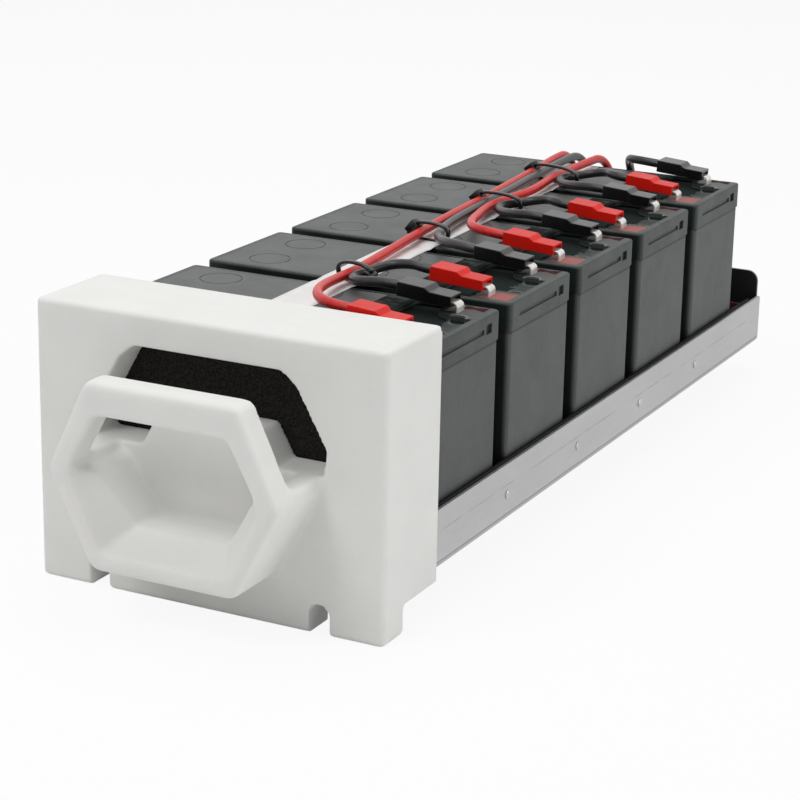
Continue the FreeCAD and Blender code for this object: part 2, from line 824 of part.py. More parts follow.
def rear_connector():
    """Plug-in connector housing with a flange behind the panel and one pocket for each contact."""
    front = tray_back - panel_thickness - connector_inner
    back = tray_back + connector_stand_off
    body = connector_body_box(0, front, back)
    body = body.makeFillet(1.0, edges_along(body, Vector(0, 1, 0)))
    half = connector_width / 2 + connector_flange
    z = connector_centre_z()
    high = connector_height / 2
    flange = box((-half, tray_back, z - high), (half, tray_back + connector_flange_thickness, z + high))
    flange = flange.makeFillet(3.0, edges_along(flange, Vector(0, 1, 0)))
    body = body.fuse(flange)
    for x in contact_places():
        pocket = box(
            (x - contact_width / 2 - 0.9, tray_back, z - high + connector_wall),
            (x + contact_width / 2 + 0.9, back + 1, z + high - connector_wall),
        )
        slot = contact_box(x, 0.0)
        body = body.cut(pocket).cut(slot)
    for side in (-1, 1):
        body = body.cut(connector_screw_shank(side))
    return one_solid(body)


def contact_places():
    """Middle of each contact, along X."""
    first = -(contact_count - 1) * contact_pitch / 2
    return [first + index * contact_pitch for index in range(contact_count)]


def contact_box(x, clear):
    """Flat contact from the wire's end of the housing to just inside its rear face."""
    z = connector_centre_z()
    return box(
        (x - contact_width / 2 - clear, tray_back - panel_thickness - connector_inner + 1.0, z - contact_thickness / 2),
        (x + contact_width / 2 + clear, tray_back + connector_stand_off - contact_setback, z + contact_thickness / 2),
    )


def connector_contacts():
    """The flat contacts of the rear connector."""
    return Part.makeCompound([contact_box(x, 0.0) for x in contact_places()])


def connector_screws():
    """Screws that hold the connector's flange to the panel."""
    screws = []
    for side in (-1, 1):
        shank = connector_screw_shank(side)
        x = side * (connector_width + connector_flange) / 2
        seat = tray_back + connector_flange_thickness
        head = Part.makeCylinder(2.8, 1.6, Vector(x, seat, connector_centre_z()), Vector(0, 1, 0))
        head = head.makeFillet(0.7, [e for e in head.Edges if e.BoundBox.YMin > seat + 1.5][:1])
        screws.append(one_solid(shank.fuse(head)))
    return Part.makeCompound(screws)


# ================================================================ wires
def tube_along(points, diameter, name):
    """Round tube along straight runs joined by tangent arcs, checked against its length."""
    corners = [Vector(*p) for p in points]
    edges = []
    radii = []
    start = corners[0]
    for before, here, after in zip(corners, corners[1:], corners[2:]):
        into = (here - before).normalize()
        out = (after - here).normalize()
        half_turn = into.getAngle(out) / 2
        reach = 0.45 * min((here - before).Length, (after - here).Length)
        radii.append(reach / math.tan(half_turn))
        first = here - into * reach
        last = here + out * reach
        towards = (out - into).normalize()
        middle = here + towards * (radii[-1] / math.cos(half_turn) - radii[-1])
        edges.append(Part.LineSegment(start, first).toShape())
        edges.append(Part.Arc(first, middle, last).toShape())
        start = last
    edges.append(Part.LineSegment(start, corners[-1]).toShape())
    path = Part.Wire(edges)
    end = (corners[1] - corners[0]).normalize()
    section = Part.Wire([Part.makeCircle(diameter / 2, corners[0], end)])
    tube = path.makePipeShell([section], True, False)
    area = math.pi * diameter ** 2 / 4
    print(
        f"{name}: length {path.Length:.1f}, smallest radius {min(radii):.1f}, "
        f"volume over section by length {tube.Volume / (area * path.Length):.4f}"
    )
    return tube


def from_sleeve(index, sign, lead):
    """First two points of a wire: the mouth of its sleeve and a short straight lead."""
    start, direction = sleeve_exit(index, sign)
    return [tuple(start), tuple(start + direction * lead)]


def from_face(points):
    """Route points given from the bezel's face, moved to the cartridge's origin."""
    return [(x, y + face_y, z) for x, y, z in points]


def into_connector(slot):
    """End of a wire: the front of the connector, straight in."""
    x = contact_places()[slot]
    y = tray_back - panel_thickness - connector_inner
    return [(x, y, connector_centre_z())]


# Each route is chosen by hand, as (x, y, z) from the bezel's face. The bundle lies at one height through its ties.
red_1_route = [
    (18.0, 60.0, 121.0), (9.6, 73.0, 120.2), (4.2, 90.0, 118.6), (1.4, 107.0, 117.2), (1.1, 124.0, 117.0),
    (-1.2, 146.0, 116.8), (-4.6, 175.0, 116.8), (-7.4, 203.0, 117.0), (-10.4, 235.0, 117.0), (-12.6, 266.0, 116.9),
    (-14.4, 297.0, 117.0), (-17.2, 328.0, 116.9), (-19.6, 359.0, 117.0), (-22.6, 384.0, 116.8),
    (-24.2, 401.0, 117.0), (-24.4, 416.6, 117.0), (-23.2, 425.2, 108.4), (-20.4, 425.5, 93.0),
    (-17.4, 425.5, 80.0), (-16.5, 425.2, 68.4), (-16.5, 425.3, 55.6), (-16.5, 433.8, 47.0),
]
grey_2_route = [
    (18.6, 178.6, 120.6), (9.8, 188.6, 119.0), (2.8, 202.0, 117.3), (-2.4, 218.0, 117.0), (-5.4, 238.0, 117.0),
    (-7.6, 264.0, 116.9), (-9.4, 291.0, 117.0), (-11.6, 320.0, 116.9), (-14.2, 349.0, 117.0),
    (-16.4, 376.0, 116.8), (-17.6, 399.0, 117.0), (-17.2, 416.6, 117.0), (-15.0, 425.2, 108.4),
    (-10.6, 425.6, 93.0), (-6.8, 425.5, 80.0), (-5.5, 425.2, 68.4), (-5.5, 425.3, 55.6), (-5.5, 433.8, 47.0),
]
red_3_route = [
    (18.5, 209.4, 121.0), (11.3, 219.0, 120.2), (5.8, 233.0, 119.0), (1.6, 248.0, 117.8), (-1.8, 260.0, 117.1),
    (-3.7, 272.0, 117.0), (-3.9, 286.0, 117.0), (-2.6, 299.0, 116.9), (-0.9, 314.0, 116.8), (-2.2, 332.0, 116.9),
    (-4.6, 350.0, 117.0), (-4.8, 366.0, 117.0), (-5.2, 384.0, 116.8), (-4.6, 401.0, 117.0), (-3.8, 416.6, 117.0),
    (-1.4, 425.2, 108.4), (2.4, 425.6, 93.0), (4.9, 425.5, 80.0), (5.5, 425.2, 68.4), (5.5, 425.3, 55.6),
    (5.5, 433.8, 47.0),
]
black_5_route = [
    (19.5, 404.5, 120.6), (13.6, 413.0, 118.9), (12.0, 420.8, 111.4), (12.4, 425.0, 100.5), (14.0, 425.6, 88.0),
    (15.8, 425.5, 78.0), (16.5, 425.2, 68.2), (16.5, 425.3, 55.6), (16.5, 433.8, 47.0),
]
# A jumper goes from the negative blade of one battery, around inside a tie, to the positive blade of the next.
jumper_routes = {
    0: [
        (15.2, 99.6, 119.2), (6.3, 108.8, 117.1), (6.2, 122.4, 117.0), (14.6, 131.0, 120.0), (25.4, 130.4, 121.6),
    ],
    2: [
        (19.0, 252.0, 119.8), (8.2, 260.5, 117.8), (1.7, 270.5, 117.0), (1.6, 279.5, 117.0), (5.1, 285.5, 117.0),
        (11.1, 289.0, 118.2), (17.4, 289.0, 119.6), (22.5, 286.8, 120.6), (26.4, 282.9, 121.0),
    ],
    3: [
        (19.0, 327.6, 119.8), (7.8, 337.0, 117.8), (0.8, 347.8, 117.0), (0.6, 357.5, 117.0), (4.1, 363.5, 117.0),
        (10.1, 367.0, 118.2), (16.7, 367.0, 119.6), (22.2, 364.1, 120.6), (25.7, 359.0, 121.0),
    ],
}


def wire(name, points):
    """One insulated wire."""
    return tube_along(points, wire_diameter, name)


def long_wire(name, index, sign, route, slot):
    """Wire from a sleeve along the bundle to the rear connector."""
    points = from_sleeve(index, sign, wire_lead) + from_face(route) + into_connector(slot)
    return wire(name, points)


def jumper(name, index):
    """Wire that joins a battery to the next one in series."""
    start = from_sleeve(index, 1, jumper_lead)
    end = from_sleeve(index + 1, 0, jumper_end_lead)
    return wire(name, start + from_face(jumper_routes[index]) + end[::-1])


# ================================================================ ties and tape
def cable_tie(centre_x, place, half_width):
    """Tie around the bundle: a flat band with its locking head on the left."""
    y = face_y + place
    low = battery_top + tape_thickness
    radius = tie_height / 2 - 0.01
    half = tie_width / 2
    outer = box((centre_x - half_width, y - half, low), (centre_x + half_width, y + half, low + tie_height))
    outer = outer.makeFillet(radius, edges_along(outer, Vector(0, 1, 0)))
    t = tie_thickness
    inner = box(
        (centre_x - half_width + t, y - tie_width, low + t),
        (centre_x + half_width - t, y + tie_width, low + tie_height - t),
    )
    inner = inner.makeFillet(radius - t, edges_along(inner, Vector(0, 1, 0)))
    band = outer.cut(inner)
    right = centre_x - half_width + t / 2
    head_low = low + (tie_height - tie_head_height) / 2
    head = box((right - tie_head, y - tie_head / 2, head_low), (right, y + tie_head / 2, head_low + tie_head_height))
    head = head.makeFillet(0.8, edges_along(head, Vector(0, 1, 0)))
    return one_solid(band.fuse(head))


def seal_tape():
    """Tape along the tops of the batteries, under the wires."""
    low = battery_top
    front = row_start + tape_front_inset
    back = row_start + row_length - tape_back_inset
    outline = [
        (tape_front_x, front, low),
        (tape_back_x, back, low),
        (tape_back_x - tape_width, back, low),
        (tape_front_x - tape_width, front, low),
    ]
    return face_of(outline).extrude(Vector(0, 0, tape_thickness))


def build():
    """All pieces of the cartridge by name."""
    pieces = {
        "front_bezel": front_bezel(),
        "bezel_foam": bezel_foam(),
        "bezel_screws": bezel_screws(),
        "tray": tray(),
        "side_rivets": side_rivets(),
        "side_liner_right": side_liner(1),
        "side_liner_left": side_liner(-1),
        "floor_pad": floor_pad(),
        "rear_panel": rear_panel(),
        "panel_screws": panel_screws(),
        "rear_insulator": rear_insulator(),
        "rear_connector": rear_connector(),
        "connector_contacts": connector_contacts(),
        "connector_screws": connector_screws(),
        "seal_tape": seal_tape(),
    }
    for index in range(battery_count):
        number = index + 1
        pieces[f"battery_case_{number}"] = battery_case(index)
        pieces[f"battery_lid_{number}"] = battery_lid(index)
        pieces[f"battery_cover_{number}"] = battery_cover(index)
        pieces[f"battery_blades_{number}"] = battery_terminals(index)
        pieces[f"positive_sleeve_{number}"] = sleeve(index, 0)
        pieces[f"negative_sleeve_{number}"] = sleeve(index, 1)
    for index in range(battery_count - 1):
        pieces[f"battery_spacer_{index + 1}"] = battery_spacer(index)
    pieces["wire_red_1"] = long_wire("wire_red_1", 0, 0, red_1_route, 0)
    pieces["wire_grey_2"] = long_wire("wire_grey_2", 1, 1, grey_2_route, 1)
    pieces["wire_red_3"] = long_wire("wire_red_3", 2, 0, red_3_route, 2)
    pieces["wire_black_5"] = long_wire("wire_black_5", battery_count - 1, 1, black_5_route, 3)
    for index in jumper_routes:
        name = f"jumper_{index + 1}_{index + 2}"
        pieces[name] = jumper(name, index)
    for number, place in enumerate(tie_places, 1):
        pieces[f"cable_tie_{number}"] = cable_tie(*place)
    return pieces


os.makedirs("parts", exist_ok=True)
for name, shape in build().items():
    shape.exportStep(f"parts/{name}.step")
    print(f"{name}: {len(shape.Solids)} solids, {shape.Volume / 1000:.2f} cm3, valid {shape.isValid()}")
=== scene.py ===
"""Dresses the battery cartridge for an uninterruptible power supply.

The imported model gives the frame. This script remodels the bezel, foam, sleeves, blades, wires, tape and cable
ties as meshes, finishes every node, and sets the studio with its camera.
"""
import json
import logging
import math
from dataclasses import dataclass
from enum import Enum
from typing import Any, Callable, Iterable

import bmesh
import bpy
from mathutils import Matrix, Vector, noise

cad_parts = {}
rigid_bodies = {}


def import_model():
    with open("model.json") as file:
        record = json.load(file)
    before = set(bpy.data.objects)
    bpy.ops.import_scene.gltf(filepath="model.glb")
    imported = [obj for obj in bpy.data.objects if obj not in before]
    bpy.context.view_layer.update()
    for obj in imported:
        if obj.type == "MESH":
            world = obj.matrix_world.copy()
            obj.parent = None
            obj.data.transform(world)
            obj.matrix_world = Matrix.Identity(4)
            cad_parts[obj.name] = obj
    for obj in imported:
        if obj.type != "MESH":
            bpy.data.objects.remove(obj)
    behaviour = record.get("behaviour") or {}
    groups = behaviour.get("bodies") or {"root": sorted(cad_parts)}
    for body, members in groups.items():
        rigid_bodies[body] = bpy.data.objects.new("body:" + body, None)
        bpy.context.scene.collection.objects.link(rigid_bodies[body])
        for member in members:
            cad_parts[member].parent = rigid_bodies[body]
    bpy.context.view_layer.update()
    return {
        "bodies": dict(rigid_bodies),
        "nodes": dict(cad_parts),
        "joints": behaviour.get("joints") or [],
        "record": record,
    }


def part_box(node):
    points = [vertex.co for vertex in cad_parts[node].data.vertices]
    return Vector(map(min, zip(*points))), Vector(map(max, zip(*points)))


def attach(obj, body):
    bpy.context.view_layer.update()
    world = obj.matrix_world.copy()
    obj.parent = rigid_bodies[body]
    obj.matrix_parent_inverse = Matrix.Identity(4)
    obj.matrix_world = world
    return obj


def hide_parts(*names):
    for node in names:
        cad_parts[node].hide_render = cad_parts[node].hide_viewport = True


MM = 0.001
BODY = "root"
LOG = logging.getLogger("cartridge")

# Places and sizes that several parts share, in millimetres.
FACE_Y = -211.25
ROW_FRONT = -165.65
BATTERY_PITCH = 75.5
BATTERY_WIDTH = 65.0
LID_TOP = 112.8
TAPE_WIDTH = 20.0

Colour = tuple[float, float, float]
Point = tuple[float, float, float]


# ---------------------------------------------------------------- shader arithmetic
class Value:
    """A shader output that takes part in Python arithmetic."""

    def __init__(self, sheet: "NodeSheet", socket: bpy.types.NodeSocket) -> None:
        """Keeps the node tree and the output socket."""
        self.sheet = sheet
        self.socket = socket

    def _maths(self, operation: str, *parts: Any) -> "Value":
        """Adds a Math node.

        Args:
            operation: the Math node's operation.
            parts: its inputs, numbers or values.

        Returns:
            The node's result.
        """
        inputs = dict(enumerate(parts))
        return self.sheet.node("ShaderNodeMath", {"operation": operation}, inputs).out(0)

    def __add__(self, other: Any) -> "Value":
        """Sum."""
        return self._maths("ADD", self, other)

    __radd__ = __add__

    def __sub__(self, other: Any) -> "Value":
        """Difference."""
        return self._maths("SUBTRACT", self, other)

    def __rsub__(self, other: Any) -> "Value":
        """Difference with the value on the right."""
        return self._maths("SUBTRACT", other, self)

    def __mul__(self, other: Any) -> "Value":
        """Product."""
        return self._maths("MULTIPLY", self, other)

    __rmul__ = __mul__

    def __mod__(self, other: Any) -> "Value":
        """Rest of a division."""
        return self._maths("MODULO", self, other)

    def __pow__(self, other: Any) -> "Value":
        """Power."""
        return self._maths("POWER", self, other)

    def __abs__(self) -> "Value":
        """Size without sign."""
        return self._maths("ABSOLUTE", self)

    def highest(self, other: Any) -> "Value":
        """Larger of two values."""
        return self._maths("MAXIMUM", self, other)

    def lowest(self, other: Any) -> "Value":
        """Smaller of two values."""
        return self._maths("MINIMUM", self, other)

    def ramp(self, low: float, high: float) -> "Value":
        """Smooth rise from 0 at low to 1 at high.

        Args:
            low: input that gives 0.
            high: input that gives 1.

        Returns:
            The smoothed value.
        """
        settings = {"interpolation_type": "SMOOTHSTEP"}
        inputs = {"Value": self, "From Min": low, "From Max": high}
        return self.sheet.node("ShaderNodeMapRange", settings, inputs).out(0)


class Node:
    """A shader node together with its tree."""

    def __init__(self, sheet: "NodeSheet", node: bpy.types.Node) -> None:
        """Keeps the tree and the node."""
        self.sheet = sheet
        self.node = node

    def out(self, key: int | str) -> Value:
        """The output with that place or name."""
        return Value(self.sheet, self.node.outputs[key])


class NodeSheet:
    """The node tree of one material or of the world."""

    def __init__(self, tree: bpy.types.NodeTree) -> None:
        """Empties the tree."""
        self.tree = tree
        self.tree.nodes.clear()

    def node(
        self, kind: str, settings: dict[str, Any] | None = None, inputs: dict[Any, Any] | None = None,
    ) -> Node:
        """Adds a node.

        Args:
            kind: the node's type.
            settings: its own settings, set before its sockets.
            inputs: values or links of its sockets, by name or place.

        Returns:
            The new node.
        """
        node = self.tree.nodes.new(kind)
        for key, value in (settings or {}).items():
            setattr(node, key, value)
        for key, value in (inputs or {}).items():
            if isinstance(value, Value):
                self.tree.links.new(value.socket, node.inputs[key])
            elif isinstance(value, tuple) and len(value) == 3 and node.inputs[key].type == "RGBA":
                node.inputs[key].default_value = (*value, 1.0)
            else:
                node.inputs[key].default_value = value
        return Node(self, node)

    def place(self) -> Value:
        """Object coordinates, in metres."""
        return self.node("ShaderNodeTexCoord").out("Object")

    def axes(self) -> tuple[Value, Value, Value]:
        """Object coordinates apart, in millimetres."""
        parts = self.node("ShaderNodeSeparateXYZ", None, {0: self.place()})
        return tuple(parts.out(axis) * (1 / MM) for axis in "XYZ")

    def stretched(self, scale: Point) -> Value:
        """Object coordinates multiplied on each axis.

        Args:
            scale: the three factors.

        Returns:
            The scaled coordinates.
        """
        return self.node("ShaderNodeMapping", None, {"Vector": self.place(), "Scale": scale}).out(0)

    def grain(
        self, size: float, detail: float = 2.0, roughness: float = 0.5, stretch: Point = (1.0, 1.0, 1.0),
    ) -> Value:
        """Soft noise.

        Args:
            size: width of its grains, in metres.
            detail: number of finer layers.
            roughness: strength of the finer layers.
            stretch: how much longer the grains are on each axis.

        Returns:
            Noise about 0.5.
        """
        scale = tuple(1 / part for part in stretch)
        inputs = {
            "Vector": self.stretched(scale), "Scale": 1 / size, "Detail": detail, "Roughness": roughness,
        }
        return self.node("ShaderNodeTexNoise", {"noise_dimensions": "3D"}, inputs).out(0)

    def mix(self, amount: Any, first: Any, second: Any) -> Value:
        """Colour mix.

        Args:
            amount: 0 for the first, 1 for the second.
            first: colour or link.
            second: colour or link.

        Returns:
            The mixed colour.
        """
        inputs = {"Factor": amount, 6: first, 7: second}
        return self.node("ShaderNodeMix", {"data_type": "RGBA"}, inputs).out(2)

    def bump(self, height: Value, depth: float, edge: float = 0.0) -> Value:
        """Normal from a height.

        Args:
            height: relief from 0 to 1.
            depth: height of the relief, in metres.
            edge: radius of softened edges, in metres.

        Returns:
            The normal.
        """
        inputs = {"Height": height, "Distance": depth, "Strength": 1.0}
        if edge:
            inputs["Normal"] = self.node("ShaderNodeBevel", {"samples": 6}, {"Radius": edge}).out(0)
        return self.node("ShaderNodeBump", None, inputs).out(0)

    def surface(self, sockets: dict[str, Any]) -> None:
        """Ends the tree in a Principled shader.

        Args:
            sockets: its values or links by name.
        """
        shader = self.node("ShaderNodeBsdfPrincipled", None, sockets)
        self.node("ShaderNodeOutputMaterial", None, {"Surface": shader.out(0)})


# ---------------------------------------------------------------- finishes
def lighter(colour: Colour, factor: float) -> Colour:
    """A colour multiplied, kept at most 1."""
    return tuple(min(1.0, part * factor) for part in colour)


@dataclass(frozen=True)
class Finish:
    """What every finish has: a name, a colour and a roughness."""

    name: str
    colour: Colour
    roughness: float

    def material(self) -> bpy.types.Material:
        """Builds the material.

        Returns:
            The new material.
        """
        made = bpy.data.materials.new(self.name)
        made.use_nodes = True
        self.draw(NodeSheet(made.node_tree))
        made.diffuse_color = (*self.colour, 1.0)
        return made

    def draw(self, sheet: NodeSheet) -> None:
        """Draws the finish in an empty tree.

        Args:
            sheet: the tree.
        """
        raise NotImplementedError


@dataclass(frozen=True)
class MouldedPlastic(Finish):
    """Moulded plastic with a fine grain, soft mottling and pale specks that are partly dust and partly painted
    glints.
    """

    grain_size: float = 0.35 * MM
    grain_depth: float = 0.03 * MM
    mottle: float = 0.06
    edge: float = 0.0
    gloss: float = 0.4
    depth_of_light: float = 0.0
    speckle: float = 0.0

    def shade(self, sheet: NodeSheet) -> Value:
        """Colour of the plastic, with broad and fine mottling and pale specks of dust and painted glints.

        Args:
            sheet: the tree.

        Returns:
            The colour.
        """
        broad = sheet.grain(22 * MM, 3.0, 0.6)
        fine = sheet.grain(1.1 * MM, 2.0, 0.6)
        dark = lighter(self.colour, 1 - self.mottle)
        pale = lighter(self.colour, 1 + self.mottle)
        tone = sheet.mix((broad * 0.65 + fine * 0.35).ramp(0.35, 0.65), dark, pale)
        if not self.speckle:
            return tone
        # pale specks: partly dust, partly painted glints on the grain
        specks = sheet.grain(0.45 * MM, 1.0, 0.5).ramp(0.66, 0.76)
        return sheet.mix(specks * self.speckle, tone, lighter(self.colour, 3.2))

    def relief(self, sheet: NodeSheet) -> Value:
        """Normal of the plastic."""
        return sheet.bump(sheet.grain(self.grain_size, 2.0, 0.6), self.grain_depth, self.edge)

    def draw(self, sheet: NodeSheet) -> None:
        """Draws the plastic.

        Args:
            sheet: the tree.
        """
        rough = sheet.grain(9 * MM, 3.0, 0.6) * 0.12 + (self.roughness - 0.06)
        sheet.surface({
            "Base Color": self.shade(sheet),
            "Roughness": rough,
            "Normal": self.relief(sheet),
            "Specular IOR Level": self.gloss,
            "Subsurface Weight": self.depth_of_light,
            "Subsurface Radius": (1.0, 0.9, 0.8),
            "Subsurface Scale": 3 * MM,
        })


def along_battery(y: Value) -> Value:
    """Place from the front of its battery, in millimetres, for a place along the row."""
    return (y - ROW_FRONT) % BATTERY_PITCH


@dataclass(frozen=True)
class CasePlastic(MouldedPlastic):
    """Battery case with painted shade under the lid and between neighbours, and faint streaks."""

    lid_low: float = 100.4
    groove: float = 1.8
    groove_fade: float = 0.6
    side_shade: float = 1.5

    def shade(self, sheet: NodeSheet) -> Value:
        """Colour of the case.

        Args:
            sheet: the tree.

        Returns:
            The colour.
        """
        _, y, z = sheet.axes()
        streaks = sheet.grain(0.9 * MM, 2.0, 0.65, (1.0, 1.0, 14.0)).ramp(0.3, 0.7)
        tone = sheet.mix(streaks * 0.22, super().shade(sheet), lighter(self.colour, 0.62))
        along = along_battery(y)
        near, far = self.side_shade * 0.4, self.side_shade
        between = (1 - along.ramp(near, far)).highest(along.ramp(BATTERY_WIDTH - far, BATTERY_WIDTH - near))
        under = z.ramp(self.lid_low - self.groove, self.lid_low - self.groove + self.groove_fade)
        return sheet.mix(under.highest(between * 0.9) * 0.95, tone, lighter(self.colour, 0.08))


@dataclass(frozen=True)
class LidPlastic(MouldedPlastic):
    """Battery lid: near black wells and top left of them from painted shade, with painted reflection streaks
    and painted glints, painted shade on its front and back faces, a dab of red paint right of the front blade
    and small round marks.
    """

    paint: Colour = (0.36, 0.075, 0.065)
    paint_dark: Colour = (0.035, 0.004, 0.005)
    shadow: Colour = (0.002, 0.007, 0.006)
    glint: Colour = (0.16, 0.18, 0.17)
    dark_roughness: float = 0.95
    well_floor: float = 110.4
    right_half: float = 36.0
    well_left: float = 57.0
    well_right: float = 62.6
    well_sides: tuple[float, float] = (15.5, 51.5)
    rim_right: float = 74.6
    mark_x: float = 67.2
    mark_places: tuple[float, ...] = (25.0, 44.5)
    mark_radius: float = 3.8
    plus_across: tuple[float, float] = (59.4, 73.6)
    plus_along: tuple[float, float] = (3.0, 14.2)
    bow_across: tuple[float, float] = (62.6, 72.8)
    bow_middle: tuple[float, float] = (67.6, 60.2)

    def paint_dabs(
        self, sheet: NodeSheet, tone: Value, x: Value, along: Value, top: Value,
    ) -> tuple[Value, Value]:
        """Red dab behind the positive blade and dark bow behind the negative one.

        Args:
            sheet: the tree.
            tone: colour of the bare lid.
            x: place across the tray in millimetres.
            along: place from the battery's front in millimetres.
            top: 1 on the upper faces.

        Returns:
            The colour, and where the bow lies.
        """
        smudge = sheet.grain(2.4 * MM, 3.0, 0.7) * 1.6 - 0.8
        left, right = self.plus_across
        inside_x = (x + smudge).ramp(left, left + 1.2) * (1 - (x + smudge * 0.4).ramp(right, right + 0.6))
        front, back = self.plus_along
        ragged = along + smudge * 0.5
        inside_y = ragged.ramp(front, front + 0.6) * (1 - ragged.ramp(back, back + 0.7))
        plus = inside_x * inside_y
        rim = plus * (1 - plus) * 4
        worn = sheet.grain(0.9 * MM, 3.0, 0.75).ramp(0.3, 0.6)
        painted = sheet.mix(plus * top * (0.45 + worn * 0.5), tone, self.paint)
        painted = sheet.mix(rim.lowest(1.0) * top * 0.7, painted, lighter(self.paint, 0.4))
        left, right = self.bow_across
        far_x = (x + smudge).ramp(left, left + 0.6) * (1 - (x + smudge * 0.5).ramp(right, right + 0.6))
        middle_x, middle = self.bow_middle
        half = abs(x - middle_x) * 0.42 + 1.2
        bow = 1 - (abs(along - middle + smudge * 0.6) - half).ramp(-0.2, 0.3)
        bow = far_x * bow * top
        return sheet.mix(bow * 0.95, painted, self.paint_dark), bow

    def marks(self, sheet: NodeSheet, x: Value, along: Value) -> tuple[Value, Value]:
        """Two small round marks near the right edge.

        Args:
            sheet: the tree.
            x: place across the tray in millimetres.
            along: place from the battery's front in millimetres.

        Returns:
            The dark discs and their pale rims, 0 to 1.
        """
        ragged = sheet.grain(1.7 * MM, 2.0, 0.7) * 1.6 - 0.8
        first, second = (((x - self.mark_x) ** 2 + (along - place) ** 2) ** 0.5 for place in self.mark_places)
        reach = first.lowest(second)
        disc = (1 - (reach + ragged).ramp(self.mark_radius - 0.9, self.mark_radius - 0.3)) * 0.8
        rim = 1 - (abs(reach + ragged * 0.5 - self.mark_radius) - 0.25).ramp(0.0, 0.4)
        return disc, rim

    def draw(self, sheet: NodeSheet) -> None:
        """Draws the lid.

        Args:
            sheet: the tree.
        """
        x, y, z = sheet.axes()
        along = along_battery(y)
        to_back = BATTERY_WIDTH - along
        top = z.ramp(self.well_floor + 1.9, self.well_floor + 2.2)
        right = x.ramp(self.right_half, self.right_half + 1)
        # painted shade: the wells and the lid top left of them darken towards the shadow colour, with ragged
        # edges
        wavy = sheet.grain(3.2 * MM, 3.0, 0.65) * 10 - 5
        front, back = self.well_sides
        ragged = along + wavy * 0.5
        shaded_band = ragged.ramp(front, front + 0.8) * (1 - ragged.ramp(back, back + 0.8))
        shaded_zone = (1 - (x + wavy).ramp(self.well_right, self.well_right + 0.7)) * shaded_band
        shaded_zone = shaded_zone.highest(1 - (x + wavy * 0.3).ramp(self.well_left, self.well_left + 1)) * x.ramp(4.0, 7.0)
        low = 1 - z.ramp(self.well_floor + 0.4, self.well_floor + 1.4)
        inside = (1 - x.ramp(self.rim_right, self.rim_right + 0.8)) * along.ramp(1.2, 2.0)
        inside = inside * to_back.ramp(1.2, 2.0)
        # painted reflections: pale streaks that lighten the painted shade left of the blades
        reflection_streaks = sheet.grain(4.5 * MM, 3.0, 0.6, (2.5, 1.0, 1.0)).ramp(0.46, 0.62) * (1 - right)
        # painted shade over the wells and the top; the dark round marks join it below
        painted_shade_and_marks = (low * inside).highest(top * inside) * shaded_zone * (1 - reflection_streaks * 0.45)
        disc, rim = self.marks(sheet, x, along)
        level = low.highest(top) * inside
        bare = sheet.mix(rim * level * 0.7, self.shade(sheet), lighter(self.colour, 3.4))
        painted_shade_and_marks = painted_shade_and_marks.highest(disc * level)
        # painted shade on the lid's front and back faces, where neighbouring batteries meet
        below_edge = 1 - z.ramp(LID_TOP - 1.6, LID_TOP - 0.6)
        shaded_ends = (1 - along.ramp(0.1, 1.2)).highest(1 - to_back.ramp(0.1, 1.2)) * below_edge
        dark = sheet.mix(painted_shade_and_marks.highest(shaded_ends * 0.85) * 0.97, bare, self.shadow)
        # painted glints: small pale spots in the painted shade
        painted_glints = sheet.grain(0.7 * MM, 2.0, 0.7).ramp(0.66, 0.72)
        painted_glints = painted_glints * sheet.grain(6 * MM, 2.0, 0.6).ramp(0.5, 0.6)
        dark = sheet.mix(painted_glints * painted_shade_and_marks * 0.35, dark, self.glint)
        painted, bow = self.paint_dabs(sheet, dark, x, along, top)
        dull = painted_shade_and_marks.highest(bow) * (self.dark_roughness - self.roughness)
        rough = self.roughness + dull + sheet.grain(6 * MM, 3.0, 0.6) * 0.05
        sheet.surface({
            "Base Color": painted,
            "Roughness": rough,
            "Normal": self.relief(sheet),
            "Specular IOR Level": self.gloss,
        })


